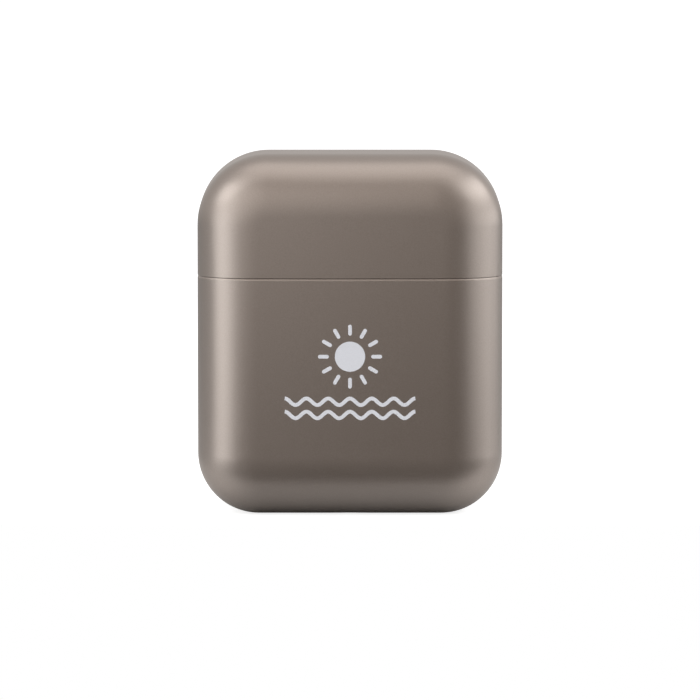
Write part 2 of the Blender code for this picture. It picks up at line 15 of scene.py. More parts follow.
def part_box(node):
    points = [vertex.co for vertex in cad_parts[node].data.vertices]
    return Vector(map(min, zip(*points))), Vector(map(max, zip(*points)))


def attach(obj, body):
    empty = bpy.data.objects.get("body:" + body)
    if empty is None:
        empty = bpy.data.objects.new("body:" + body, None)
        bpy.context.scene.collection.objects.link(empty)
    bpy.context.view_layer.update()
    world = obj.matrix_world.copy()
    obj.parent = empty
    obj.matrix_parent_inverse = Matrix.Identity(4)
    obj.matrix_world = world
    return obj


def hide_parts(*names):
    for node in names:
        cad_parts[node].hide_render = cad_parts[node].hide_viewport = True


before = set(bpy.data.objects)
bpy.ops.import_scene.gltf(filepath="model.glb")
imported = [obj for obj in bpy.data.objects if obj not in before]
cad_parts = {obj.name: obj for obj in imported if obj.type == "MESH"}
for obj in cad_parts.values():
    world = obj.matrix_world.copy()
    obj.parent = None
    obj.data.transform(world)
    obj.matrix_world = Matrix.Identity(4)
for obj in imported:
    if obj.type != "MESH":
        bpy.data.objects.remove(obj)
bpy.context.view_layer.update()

bl_info = {
    "name": "Sunscreen Stick",
    "version": (1, 0, 0),
    "blender": (4, 5, 0),
    "location": "3D View > Sidebar > Sunscreen Stick",
    "description": "Builds the finished look of a flat twist-up sunscreen stick around its packed solids",
    "category": "Object",
}

MM = 0.001


def lowest(solid):
    """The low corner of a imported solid's box."""
    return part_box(solid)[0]


def highest(solid):
    """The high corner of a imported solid's box."""
    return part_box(solid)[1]


def length(name, description, default):
    """A length property in metres."""
    return bpy.props.FloatProperty(
        name=name, description=description, default=default, unit="LENGTH", subtype="DISTANCE", precision=5
    )


def colour(name, description, code):
    """A colour property from an sRGB hex code."""
    return bpy.props.FloatVectorProperty(
        name=name, description=description, default=linear(code), subtype="COLOR", size=4, min=0, max=1
    )


def linear(code):
    """Linear colour, with alpha, of an sRGB hex code."""
    channels = [int(code[i:i + 2], 16) / 255 for i in (0, 2, 4)]
    return (*[c / 12.92 if c <= 0.04045 else ((c + 0.055) / 1.055) ** 2.4 for c in channels], 1)


class StickSizes(bpy.types.PropertyGroup):
    """Outer form, walls and fits of the stick pack."""

    half_width: length("Half width", "Half of the pack's width", highest("body_shell").x)
    half_depth: length("Half depth", "Half of the pack's depth", highest("body_shell").y)
    height: length("Height", "Height of the closed pack", highest("cap_shell").z)
    top_corner: length("Top corner", "Radius of the cap's two corners seen from the front", 11.8 * MM)
    base_corner: length("Base corner", "Radius of the case's two corners seen from the front", 10.2 * MM)
    face_round: length("Face round", "Radius of the roll from the faces into the sides", 8.6 * MM)
    roll_reach: length("Roll reach", "How far the lacquered shells roll in over the face", 10.1 * MM)
    roll_power: bpy.props.FloatProperty(
        name="Roll power", description="2 rolls in an ellipse, and more is squarer", default=2.4, min=2
    )
    crown: length("Crown", "How far the domed faces fall back at the sides, and again at the ends", 0.7 * MM)
    print_room: length("Print room", "How far the faces stand back for the print", 0.02 * MM)
    shell_wall: length("Shell wall", "Wall of the lacquered outer shells", 1.3 * MM)
    foot_wall: length("Foot wall", "Floor of the outer case", 1.6 * MM)
    fit_gap: length("Fit gap", "Gap between fixed pieces", 0.3 * MM)
    slide_gap: length("Slide gap", "Gap between the barrel and what slides in it", 0.35 * MM)
    liner_wall: length("Inner cap wall", "Wall of the inner cap", 0.8 * MM)
    case_wall: length("Barrel wall", "Wall of the barrel", 1.0 * MM)
    case_floor: length("Barrel floor", "Floor of the barrel", 1.2 * MM)
    cup_wall: length("Cup wall", "Wall of the lift cup", 0.7 * MM)
    cup_floor: length("Cup floor", "Floor of the lift cup", 1.1 * MM)
    seam_gap: length("Seam gap", "Gap that shows between cap and case", 0.04 * MM)
    cap_rim_round: length("Cap rim round", "Radius on the cap's rim", 0.05 * MM)
    case_rim_round: length("Case rim round", "Radius on the case's rim, which catches the light", 0.8 * MM)


class StickMechanism(bpy.types.PropertyGroup):
    """Thread, dial and bearing."""

    lead: length("Lead", "Rise of the lift cup for one turn of the dial", 4.40119 * MM)
    crest_radius: length("Crest radius", "Radius over the spindle's thread", 3.6 * MM)
    root_radius: length("Root radius", "Radius of the spindle's core", 2.6 * MM)
    crest_width: length("Crest width", "Width of the spindle's thread at its crest, along the axis", 1.0 * MM)
    root_width: length("Root width", "Width of the spindle's thread at its root, along the axis", 2.0 * MM)
    journal_radius: length("Journal radius", "Radius of the spindle in the barrel's floor", 2.0 * MM)
    key_width: length("Key width", "Width of the square key in the dial", 2.6 * MM)
    hub_radius: length("Hub radius", "Radius of the dial's hub", 3.4 * MM)
    dial_radius: length("Dial radius", "Radius of the dial's face", 6.2 * MM)
    finger_bar: length("Finger bar", "Width of the bar that fingers turn", 2.4 * MM)
    pocket_depth: length("Pocket depth", "Depth of the two finger pockets", 1.7 * MM)


class StickFinish(bpy.types.PropertyGroup):
    """Colours of the stick pack."""

    lacquer: colour("Lacquer", "Satin taupe lacquer on the outer shells", "998F88")
    inner_plastic: colour("Inner plastic", "Moulded plastic of barrel, shoulder and inner cap", "8C8480")
    mechanism: colour("Mechanism", "Natural white plastic of lift cup and spindle", "E9E7E2")
    dial: colour("Dial", "Moulded plastic of the dial", "6E645D")
    seal: colour("Seal", "Clear silicone of the ring seal", "D9D9D6")
    balm: colour("Balm", "Solid sunscreen", "F2EBDD")
    ink: colour("Ink", "Pale printed marks", "DFDEE2")


class StickPrint(bpy.types.PropertyGroup):
    """Generic printed marks on the front: a plain sun over two waves."""

    height: length("Sun height", "Height of the sun's middle over the base", 27 * MM)
    disc_radius: length("Disc radius", "Radius of the sun's disc", 2.5 * MM)
    ray_count: bpy.props.IntProperty(name="Ray count", description="Rays round the sun", default=12, min=3)
    ray_start: length("Ray start", "Distance from the sun's middle to a ray", 3.5 * MM)
    ray_length: length("Ray length", "Length of a ray", 1.8 * MM)
    line_width: length("Line width", "Width of rays and waves", 0.62 * MM)
    wave_length: length("Wave length", "Length of one wave", 3.6 * MM)
    wave_count: bpy.props.IntProperty(name="Wave count", description="Waves in a row", default=6, min=1)
    wave_height: length("Wave height", "Height of a wave from its middle", 0.55 * MM)
    wave_pitch: length("Wave pitch", "Distance between the rows of waves", 2.2 * MM)


class StickStage(bpy.types.PropertyGroup):
    """Camera and studio."""

    elevation: bpy.props.FloatProperty(
        name="Elevation", description="Camera above the horizon", default=radians(6), subtype="ANGLE"
    )
    distance: length("Distance", "Camera to the point it looks at", 976 * MM)
    aim_height: length("Aim height", "Height of the point the camera looks at", 26.75 * MM)
    lens: bpy.props.FloatProperty(
        name="Lens", description="Focal length", default=300, unit="CAMERA", subtype="DISTANCE_CAMERA"
    )


# Steps in an outline's corner, in the roll from a face into the side, and in a small round
CORNER_STEPS = 24
ROUND_STEPS = 24
RIM_STEPS = 5
# Steps along an outline's sides and along its end, and on a face from its outline to its seam
STRAIGHT_STEPS = 4
FLAT_STEPS = 12
FACE_STEPS = 10
# Steps in a turn of a turned piece, of a thread and of the seal's cord, and along a wave
TURN_STEPS = 96
THREAD_STEPS = 48
CORD_STEPS = 24
WAVE_STEPS = 24
# Steps along a whole outline, from seam to seam
OUTLINE_STEPS = 2 * STRAIGHT_STEPS + 2 * CORNER_STEPS + FLAT_STEPS

SMOOTH_ANGLE = radians(30)
WELD = 0.001 * MM
# The tips of a thread's run-outs have corners closer than that
FINE_WELD = WELD / 10
# How far a bit runs past the solid that it cuts
OVERRUN = 1 * MM


def settings():
    return bpy.context.scene.stick_sizes


def mechanism():
    return bpy.context.scene.stick_mechanism


def finishes():
    return bpy.context.scene.stick_finish


def arc(centre, radius, start, end, steps):
    """Points on an arc, both ends included."""
    angles = [start + (end - start) * i / steps for i in range(steps + 1)]
    return [(centre[0] + radius * cos(a), centre[1] + radius * sin(a)) for a in angles]


def between(a, b, steps):
    """Points strictly between two others."""
    return [tuple(a[k] + (b[k] - a[k]) * i / steps for k in range(len(a))) for i in range(1, steps)]


def softened(corners):
    """Points along a line through corners, each given by two coordinates and the radius that rounds it."""
    points = []
    for i, (u, v, radius) in enumerate(corners):
        if not radius:
            points.append((u, v))
            continue
        here = Vector((u, v))
        to_last = (Vector(corners[i - 1][:2]) - here).normalized()
        to_next = (Vector(corners[(i + 1) % len(corners)][:2]) - here).normalized()
        half = to_last.angle(to_next) / 2
        centre = here + (to_last + to_next).normalized() * radius / sin(half)
        start = here + to_last * radius / tan(half) - centre
        end = here + to_next * radius / tan(half) - centre
        sweep = pi - 2 * half
        for step in range(RIM_STEPS + 1):
            share = step / RIM_STEPS
            spot = centre + (start * sin((1 - share) * sweep) + end * sin(share * sweep)) / sin(sweep)
            points.append(tuple(spot))
    return points


class Form:
    """A soap form: an outline in the XZ plane, rolled at the front and back.

    The top form opens downwards at its seam, and the foot form opens upwards. A plain form rolls in a quarter
    of a circle and has flat faces. A crowned one rolls over a longer reach, and its faces are gently domed.
    """

    def __init__(self, half_width, half_depth, end, corner, roll, up=True):
        self.half_width = half_width
        self.half_depth = half_depth
        self.end = end
        self.corner = corner
        self.roll = roll
        self.up = up
        self.reach = roll
        self.power = 2
        self.crown = 0
        self.middle = 0
        self.recess = 0

    def crowned(self, reach, power, crown, middle, recess):
        """The same form with a longer roll and domed faces, highest at the middle and set back a little."""
        self.reach = reach
        self.power = power
        self.crown = crown
        self.middle = middle
        self.recess = recess
        return self

    def fall(self, x, z):
        """How far a face has fallen back from its top."""
        if not self.crown:
            return 0
        across, along = x / self.half_width, (z - self.middle) / self.middle
        return self.recess + self.crown * (across ** 2 + along ** 2)

    def path(self, inset, seam):
        """Outline points at an inset, from the right seam round the end to the left."""
        side = self.half_width - inset
        radius = self.corner - inset
        centre_x = self.half_width - self.corner
        sign = 1 if self.up else -1
        centre_z = self.end - sign * self.corner
        right = (side, seam)
        left = (-side, seam)
        turn_right = arc((centre_x, centre_z), radius, 0, sign * pi / 2, CORNER_STEPS)
        turn_left = arc((-centre_x, centre_z), radius, sign * pi / 2, sign * pi, CORNER_STEPS)
        return (
            [right] + between(right, turn_right[0], STRAIGHT_STEPS) + turn_right
            + between(turn_right[-1], turn_left[0], FLAT_STEPS)
            + turn_left + between(turn_left[-1], left, STRAIGHT_STEPS) + [left]
        )

    def profile(self, inset):
        """Inset, side and share of the roll's depth of each row, from the front face's edge to the back's."""
        reach = self.reach - inset
        angles = [pi / 2 * (1 - i / ROUND_STEPS) for i in range(ROUND_STEPS + 1)]
        bend = 2 / self.power
        rows = [(inset + reach * (1 - abs(cos(a)) ** bend), sin(a) ** bend) for a in angles]
        rows[0] = (self.reach, 1)
        front = [(d, 1, share) for d, share in rows]
        middle = [(inset, side, 0) for side, in between((1,), (-1,), STRAIGHT_STEPS)]
        return front + middle + [(d, -1, share) for d, share in reversed(rows)]

    def forward(self, inset, side, share, x, z):
        """The Y of a point on a row, whose side is 1 at the front, -1 at the back and less in between."""
        flat = self.half_depth - self.roll
        return -side * flat - copysign(1, side) * share * (self.roll - inset - self.fall(x, z))

    def rim(self, inset, z):
        """Closed loop of points in plan at a height, front right first, round by the back."""
        rows = self.profile(inset)
        right = [(self.half_width - d, side, share) for d, side, share in rows]
        left = [(-x, side, share) for x, side, share in reversed(right)]
        edge = self.half_width - self.reach
        back = [(x, -1, 1) for x, in between((edge,), (-edge,), OUTLINE_STEPS)]
        front = [(x, 1, 1) for x, in between((-edge,), (edge,), OUTLINE_STEPS)]
        return [
            (x, self.forward(inset, side, share, x, z), z) for x, side, share in right + back + left + front
        ]

    def level(self, point):
        """Zero on the form, and the distance inside it near its surface, as a negative number."""
        x, y, z = point
        under_end = self.end - z if self.up else z - self.end
        past_x = abs(x) - (self.half_width - self.corner)
        past_z = self.corner - under_end
        if past_x > 0 and past_z > 0:
            depth = self.corner - hypot(past_x, past_z)
        else:
            depth = under_end if past_x < past_z else self.half_width - abs(x)
        rolled = max(self.reach - depth, 0) / self.reach
        back = max(abs(y) - (self.half_depth - self.roll), 0) / (self.roll - self.fall(x, z))
        return ((rolled ** self.power + back ** self.power) ** (1 / self.power) - 1) * self.roll

    def outward(self, point):
        """Outward direction at a point, square to the form's levels."""
        step = 0.001 * MM
        slope = Vector([
            self.level(point + step * axis) - self.level(point - step * axis)
            for axis in (Vector((1, 0, 0)), Vector((0, 1, 0)), Vector((0, 0, 1)))
        ])
        return slope.normalized()


def top_form():
    sizes = settings()
    return Form(sizes.half_width, sizes.half_depth, sizes.height, sizes.top_corner, sizes.face_round)


def foot_form():
    sizes = settings()
    return Form(sizes.half_width, sizes.half_depth, 0, sizes.base_corner, sizes.face_round, up=False)


def skin_of(form):
    """The lacquered outside of a form, with its longer roll and domed faces."""
    sizes = settings()
    return form.crowned(sizes.roll_reach, sizes.roll_power, sizes.crown, sizes.height / 2, sizes.print_room)


class Builder:
    """Collects faces for one mesh, and merges the corners that meet."""

    def __init__(self):
        self.bm = bmesh.new()

    def loop(self, points):
        return [self.bm.verts.new(p) for p in points]

    def face(self, verts):
        return self.bm.faces.new(verts)

    def bridge(self, near, far, closed=True):
        """Quads between two loops of equal length, or a fan from a single corner."""
        longest = max(len(near), len(far))
        for i in range(longest if closed else longest - 1):
            j = (i + 1) % longest
            corners = [near[i % len(near)], near[j % len(near)], far[j % len(far)], far[i % len(far)]]
            self.face(list(dict.fromkeys(corners)))

    def loft(self, loops, ring=False):
        for near, far in zip(loops, loops[1:]):
            self.bridge(near, far)
        if ring:
            self.bridge(loops[-1], loops[0])

    def skin(self, form, inset, seam, floor=-inf):
        """The rolled surface of a form to its seam, nowhere under the floor. Returns the seam's loop."""
        grid = []
        for depth, side, share in form.profile(inset):
            grid.append(self.loop([
                (x, form.forward(inset, side, share, x, z), max(z, floor)) for x, z in form.path(depth, seam)
            ]))
        for near, far in zip(grid, grid[1:]):
            self.bridge(near, far, closed=False)
        front = self.face_skin(form, inset, seam, floor, grid[0], 1)
        back = self.face_skin(form, inset, seam, floor, grid[-1], -1)
        right = [row[0] for row in grid]
        left = [row[-1] for row in reversed(grid)]
        return right + back[1:-1] + left + front[-2:0:-1]

    def face_skin(self, form, inset, seam, floor, outline, side):
        """The front or back face, in rows from its outline to the seam. Returns the row at the seam."""
        edge = form.half_width - form.reach
        base = [(edge * (1 - 2 * i / OUTLINE_STEPS), seam) for i in range(OUTLINE_STEPS + 1)]
        path = form.path(form.reach, seam)
        last = outline
        for step in range(1, FACE_STEPS + 1):
            share = step / FACE_STEPS
            row = []
            for (x, z), (base_x, base_z) in zip(path, base):
                x, z = x + share * (base_x - x), z + share * (base_z - z)
                row.append((x, form.forward(inset, side, 1, x, z), max(z, floor)))
            loop = self.loop(row)
            self.bridge(last, loop, closed=False)
            last = loop
        return last

    def mesh(self, name):
        bmesh.ops.remove_doubles(self.bm, verts=self.bm.verts, dist=WELD)
        bmesh.ops.recalc_face_normals(self.bm, faces=self.bm.faces)
        mesh = bpy.data.meshes.new(name)
        self.bm.to_mesh(mesh)
        self.bm.free()
        return mesh


def shell_mesh(name, outside, inside, wall, rim, seam, floor=-inf):
    """A closed shell: outer skin, the rim's rows of inset and height, inner skin up to its own seam.

    The rim's rows lie on the outside form to half of the wall, and then on the inside form.
    """
    build = Builder()
    start, z = rim[0]
    loops = [build.skin(outside, start, z)]
    for inset, z in rim[1:]:
        form = outside if inset < (start + wall) / 2 else inside
        loops.append(build.loop(form.rim(inset, z)))
    build.loft(loops + [build.skin(inside, wall, seam, floor)])
    return build.mesh(name)


def plan_mesh(name, corners, ring=False):
    """A solid or ring lofted through plan outlines, from corners of inset, height and rounding radius."""
    form = top_form()
    build = Builder()
    loops = [build.loop(form.rim(inset, z)) for inset, z in softened(corners)]
    build.loft(loops, ring)
    if not ring:
        build.face(loops[0])
        build.face(loops[-1])
    return build.mesh(name)


def turned_mesh(name, corners, ring=False):
    """A turned solid or ring from corners of radius, height and rounding radius."""
    build = Builder()
    loops = []
    for radius, z in softened(corners):
        angles = [tau * i / TURN_STEPS for i in range(TURN_STEPS)] if radius else [0]
        loops.append(build.loop([(radius * cos(a), radius * sin(a), z) for a in angles]))
    build.loft(loops, ring)
    return build.mesh(name)


def block_mesh(name, low, high):
    """An upright block between two corners."""
    low, high = Vector(low), Vector(high)
    build = Builder()
    place = Matrix.Translation((low + high) / 2) @ Matrix.Diagonal((*(high - low), 1))
    bmesh.ops.create_cube(build.bm, size=1, matrix=place)
    return build.mesh(name)


@contextmanager
def edited(mesh):
    """A mesh opened for changes, which are then written back."""
    bm = bmesh.new()
    bm.from_mesh(mesh)
    yield bm
    bm.to_mesh(mesh)
    bm.free()


def temporary(mesh):
    """An object that only holds a mesh for a modifier."""
    obj = bpy.data.objects.new(mesh.name, mesh)
    bpy.context.scene.collection.objects.link(obj)
    return obj


def settled(obj, *tools):
    """The plain mesh that an object's modifiers give. The object and its tools are removed."""
    depsgraph = bpy.context.evaluated_depsgraph_get()
    mesh = bpy.data.meshes.new_from_object(obj.evaluated_get(depsgraph))
    for used in (obj, *tools):
        bpy.data.objects.remove(used, do_unlink=True)
    return mesh


def worked(mesh, *steps):
    """Join or cut solids in order, each step being an operation and a mesh."""
    # Faces that aren't quite flat would open seams, so they are split first
    with edited(mesh) as bm:
        bmesh.ops.triangulate(bm, faces=bm.faces)
    obj = temporary(mesh)
    tools = []
    for operation, tool_mesh in steps:
        tool = temporary(tool_mesh)
        modifier = obj.modifiers.new(operation, "BOOLEAN")
        modifier.operation = operation
        modifier.solver = "EXACT"
        modifier.object = tool
        tools.append(tool)
    result = settled(obj, *tools)
    with edited(result) as bm:
        bmesh.ops.remove_doubles(bm, verts=bm.verts, dist=WELD)
        bmesh.ops.dissolve_degenerate(bm, edges=bm.edges, dist=WELD)
    return result


def flat_and_round(mesh):
    """Smooth shading with crisp edges, where the flat faces stay evenly lit up to their rounds."""
    mesh.shade_smooth()
    mesh.set_sharp_from_angle(angle=SMOOTH_ANGLE)
    obj = temporary(mesh)
    obj.modifiers.new("Even flats", "WEIGHTED_NORMAL").keep_sharp = True
    return settled(obj)


def true_normals(mesh, *skins):
    """Give the faces on a soap form the form's exact directions, so that no facet shows in a reflection.

    Each skin is a form, how deep the surface lies in it, and 1 or -1 for a face that looks out or in.
    """
    mesh.shade_smooth()
    mesh.set_sharp_from_angle(angle=SMOOTH_ANGLE)
    tolerance = 0.02 * MM
    alike = cos(radians(20))
    directions = []
    for form, inset, sign in skins:
        near = [abs(form.level(vertex.co) + inset) < tolerance for vertex in mesh.vertices]
        directions.append([
            form.outward(vertex.co) * sign if close else None for vertex, close in zip(mesh.vertices, near)
        ])
    normals = []
    for polygon in mesh.polygons:
        found = [Vector((0, 0, 0))] * len(polygon.vertices)
        for direction in directions:
            exact = [direction[index] for index in polygon.vertices]
            if all(exact) and all(polygon.normal.dot(normal) > alike for normal in exact):
                found = exact
                break
        normals += found
    mesh.normals_split_custom_set(normals)
    return mesh


def node(tree, kind, options=None, inputs=None):
    """Add a node, set its options, and set its inputs.

    An input takes a value, a socket, a node, which stands for its first output, or a list of these.
    """
    made = tree.nodes.new(kind)
    for key, value in (options or {}).items():
        setattr(made, key, value)
    for key, value in (inputs or {}).items():
        for source in value if isinstance(value, list) else [value]:
            if isinstance(source, bpy.types.Node):
                source = source.outputs[0]
            if isinstance(source, bpy.types.NodeSocket):
                tree.links.new(source, made.inputs[key])
            else:
                made.inputs[key].default_value = source
    return made


def grown(name, draw, inputs, material):
    """The plain mesh of a geometry node tree with named inputs, drawn by a function of tree and inputs."""
    tree = bpy.data.node_groups.new(name, "GeometryNodeTree")
    tree.interface.new_socket("Geometry", in_out="OUTPUT", socket_type="NodeSocketGeometry")
    identifiers = {}
    for key, value in inputs.items():
        kind = "NodeSocketInt" if isinstance(value, int) else "NodeSocketFloat"
        identifiers[key] = tree.interface.new_socket(key, in_out="INPUT", socket_type=kind).identifier
    sockets = node(tree, "NodeGroupInput").outputs
    shape = draw(tree, {key: sockets[key] for key in inputs})
    solid = node(tree, "GeometryNodeRealizeInstances", inputs={"Geometry": shape})
    finished = node(tree, "GeometryNodeSetMaterial", inputs={"Geometry": solid, "Material": material})
    node(tree, "NodeGroupOutput", inputs={"Geometry": finished})
    obj = temporary(bpy.data.meshes.new(name))
    modifier = obj.modifiers.new(name, "NODES")
    modifier.node_group = tree
    for key, value in inputs.items():
        modifier[identifiers[key]] = value
    mesh = settled(obj)
    with edited(mesh) as bm:
        bmesh.ops.remove_doubles(bm, verts=bm.verts, dist=FINE_WELD)
        bmesh.ops.recalc_face_normals(bm, faces=bm.faces)
    return mesh


def draw_thread(tree, size):
    """A left-hand ridge that climbs round the axis, and runs out to a point at both ends."""
    helix = node(
        tree, "GeometryNodeCurveSpiral",
        inputs={
            "Resolution": THREAD_STEPS, "Rotations": size["Turns"], "Start Radius": size["Foot Radius"],
            "End Radius": size["Foot Radius"], "Height": size["Rise"], "Reverse": False,
        },
    )
    upright = node(tree, "GeometryNodeSetCurveNormal", {"mode": "Z_UP"}, {"Curve": helix})
    along = node(tree, "GeometryNodeSplineParameter").outputs["Factor"]
    left = node(tree, "ShaderNodeMath", {"operation": "SUBTRACT"}, {0: 1.0, 1: along})
    nearest = node(tree, "ShaderNodeMath", {"operation": "MINIMUM"}, {0: along, 1: left})
    full = node(
        tree, "ShaderNodeMapRange", {"interpolation_type": "SMOOTHSTEP"},
        {
            "Value": nearest, "From Min": 0.0, "From Max": size["Run-out Share"],
            "To Min": 0.02, "To Max": 1.0,
        },
    )
    section = node(
        tree, "GeometryNodeCurvePrimitiveQuadrilateral", {"mode": "TRAPEZOID"},
        {
            "Bottom Width": size["Foot Width"], "Top Width": size["Crest Width"], "Offset": 0.0,
            "Height": size["Ridge Height"],
        },
    )
    rounded = node(
        tree, "GeometryNodeFilletCurve", {"mode": "POLY"},
        {"Curve": section, "Count": 3, "Radius": size["Crest Round"]},
    )
    half = node(tree, "ShaderNodeMath", {"operation": "MULTIPLY"}, {0: size["Ridge Height"], 1: 0.5})
    shift = node(tree, "ShaderNodeCombineXYZ", inputs={1: half})
    standing = node(tree, "GeometryNodeTransform", inputs={"Geometry": rounded, "Translation": shift})
    turn = node(tree, "ShaderNodeCombineXYZ", inputs={2: size["Section Turn"]})
    turned = node(tree, "GeometryNodeTransform", inputs={"Geometry": standing, "Rotation": turn})
    return node(
        tree, "GeometryNodeCurveToMesh",
        inputs={"Curve": upright, "Profile Curve": turned, "Scale": full, "Fill Caps": True},
    )


def draw_sun(tree, size):
    """A disc with rounded rays round it, as a closed plate."""
    edge = node(
        tree, "GeometryNodeCurvePrimitiveCircle",
        inputs={"Resolution": TURN_STEPS, "Radius": size["Disc Radius"]},
    )
    disc = node(tree, "GeometryNodeFillCurve", inputs={"Curve": edge})
    bar = node(
        tree, "GeometryNodeCurvePrimitiveQuadrilateral",
        inputs={"Width": size["Ray Length"], "Height": size["Ray Width"]},
    )
    rounded = node(
        tree, "GeometryNodeFilletCurve", {"mode": "POLY"},
        {"Curve": bar, "Count": RIM_STEPS, "Radius": size["Ray Round"]},
    )
    ray = node(tree, "GeometryNodeFillCurve", inputs={"Curve": rounded})
    out = node(tree, "ShaderNodeCombineXYZ", inputs={0: size["Ray Middle"]})
    placed = node(tree, "GeometryNodeTransform", inputs={"Geometry": ray, "Translation": out})
    order = node(tree, "GeometryNodeInputIndex")
    angle = node(tree, "ShaderNodeMath", {"operation": "MULTIPLY"}, {0: order, 1: size["Ray Angle"]})
    turn = node(tree, "ShaderNodeCombineXYZ", inputs={2: angle})
    middle = node(tree, "GeometryNodePoints", inputs={"Count": size["Ray Count"]})
    rays = node(
        tree, "GeometryNodeInstanceOnPoints",
        inputs={"Points": middle, "Instance": placed, "Rotation": turn},
    )
    solid_rays = node(tree, "GeometryNodeRealizeInstances", inputs={"Geometry": rays})
    flat = node(tree, "GeometryNodeJoinGeometry", inputs={"Geometry": [disc, solid_rays]})
    raised = node(
        tree, "GeometryNodeExtrudeMesh",
        inputs={"Mesh": flat, "Offset Scale": size["Thickness"], "Individual": False},
    )
    under = node(tree, "GeometryNodeFlipFaces", inputs={"Mesh": flat})
    return node(tree, "GeometryNodeJoinGeometry", inputs={"Geometry": [raised, under]})


def draw_waves(tree, size):
    """Two rows of waves, one under the other."""
    end = node(tree, "ShaderNodeCombineXYZ", inputs={0: size["Row Length"]})
    line = node(tree, "GeometryNodeCurvePrimitiveLine", inputs={"End": end})
    fine = node(tree, "GeometryNodeResampleCurve", inputs={"Curve": line, "Count": size["Points"]})
    position = node(tree, "GeometryNodeInputPosition")
    spot = node(tree, "ShaderNodeSeparateXYZ", inputs={0: position}).outputs["X"]
    phase = node(tree, "ShaderNodeMath", {"operation": "MULTIPLY"}, {0: spot, 1: size["Phase per Metre"]})
    swing = node(tree, "ShaderNodeMath", {"operation": "COSINE"}, {0: phase})
    lift = node(tree, "ShaderNodeMath", {"operation": "MULTIPLY"}, {0: swing, 1: size["Wave Height"]})
    offset = node(tree, "ShaderNodeCombineXYZ", inputs={1: lift})
    wavy = node(tree, "GeometryNodeSetPosition", inputs={"Geometry": fine, "Offset": offset})
    upright = node(tree, "GeometryNodeSetCurveNormal", {"mode": "Z_UP"}, {"Curve": wavy})
    section = node(
        tree, "GeometryNodeCurvePrimitiveQuadrilateral",
        inputs={"Width": size["Line Width"], "Height": size["Thickness"]},
    )
    ribbon = node(
        tree, "GeometryNodeCurveToMesh",
        inputs={"Curve": upright, "Profile Curve": section, "Fill Caps": True},
    )
    pitch = node(tree, "ShaderNodeCombineXYZ", inputs={1: size["Row Pitch"]})
    rows = node(tree, "GeometryNodeMeshLine", inputs={"Count": 2, "Offset": pitch})
    return node(tree, "GeometryNodeInstanceOnPoints", inputs={"Points": rows, "Instance": ribbon})


def new_material(name, code, values=None):
    """A material with its output and its Principled shader, in a base colour and with other values."""
    material = bpy.data.materials.new(name)
    material.use_nodes = True
    material.diffuse_color = code
    tree = material.node_tree
    tree.nodes.clear()
    shader = node(tree, "ShaderNodeBsdfPrincipled", inputs={"Base Color": tuple(code), **(values or {})})
    node(tree, "ShaderNodeOutputMaterial", inputs={"Surface": shader})
    return material, tree, shader


def speckled(tree, shader, size, tone, gloss, rise):
    """Vary tone and roughness, and lift the surface, with a fine grain of the given size.

    Tone is the share by which the colour varies, gloss is the least and greatest roughness, and rise is the
    grain's height.
    """
    place = node(tree, "ShaderNodeTexCoord").outputs["Object"]
    grain = node(tree, "ShaderNodeTexNoise", inputs={"Vector": place, "Scale": 1 / size, "Detail": 2})
    shade, rough = [
        node(
            tree, "ShaderNodeMapRange",
            inputs={"Value": grain, "From Min": 0.3, "From Max": 0.7, "To Min": low, "To Max": high},
        )
        for low, high in ((1 - tone, 1 + tone), gloss)
    ]
    tint = node(
        tree, "ShaderNodeMix", {"data_type": "RGBA", "blend_type": "MULTIPLY"},
        {"Factor": 1, "A": tuple(shader.inputs["Base Color"].default_value), "B": shade},
    )
    bump = node(tree, "ShaderNodeBump", inputs={"Strength": 1, "Distance": rise, "Height": grain})
    tree.links.new(tint.outputs[2], shader.inputs["Base Color"])
    tree.links.new(rough.outputs[0], shader.inputs["Roughness"])
    tree.links.new(bump.outputs[0], shader.inputs["Normal"])
    return bump


def satin_metallic_lacquer():
    """Satin metallic lacquer sprayed on moulded ABS: fine aluminium flake gives it a soft grainy sheen."""
    material, tree, shader = new_material("satin_metallic_lacquer", finishes().lacquer, {"Metallic": 1})
    # Flakes of about 0.03 mm, drawn at 0.2 mm so that their grain shows
    speckled(tree, shader, 0.2 * MM, 0.05, (0.40, 0.44), 0.0004 * MM)
    return material


def satin_moulded_abs():
    """Unpainted ABS from a spark-eroded mould: an even matt grain with a soft shine."""
    material, tree, shader = new_material("satin_moulded_abs", finishes().inner_plastic, {"IOR": 1.54})
    # Grain of about 0.1 mm, drawn at 0.25 mm so that it shows
    speckled(tree, shader, 0.25 * MM, 0.03, (0.42, 0.5), 0.004 * MM)
    return material


def dark_moulded_abs():
    """Coloured ABS of the dial from a coarser spark-eroded mould: matt, with a fine grain that grips."""
    material, tree, shader = new_material("dark_moulded_abs", finishes().dial, {"IOR": 1.54})
    speckled(tree, shader, 0.3 * MM, 0.04, (0.46, 0.56), 0.008 * MM)
    return material


def natural_polypropylene():
    """Uncoloured polypropylene from a polished mould: milky white, faintly see-through, with a waxy shine."""
    material, tree, shader = new_material("natural_polypropylene", finishes().mechanism, {
        "IOR": 1.49,
        "Subsurface Weight": 0.25,
        "Subsurface Radius": (1, 1, 1),
        "Subsurface Scale": 0.4 * MM,
    })
    # Flow marks in the melt, a millimetre or two wide
    speckled(tree, shader, 1.5 * MM, 0.015, (0.32, 0.38), 0.003 * MM)
    return material


def clear_silicone():
    """Moulded clear silicone: cloudy and see-through, with a soft satin skin."""
    material, tree, shader = new_material(
        "clear_silicone", finishes().seal, {"IOR": 1.41, "Transmission Weight": 0.6}
    )
    speckled(tree, shader, 0.4 * MM, 0.01, (0.3, 0.4), 0.002 * MM)
    return material


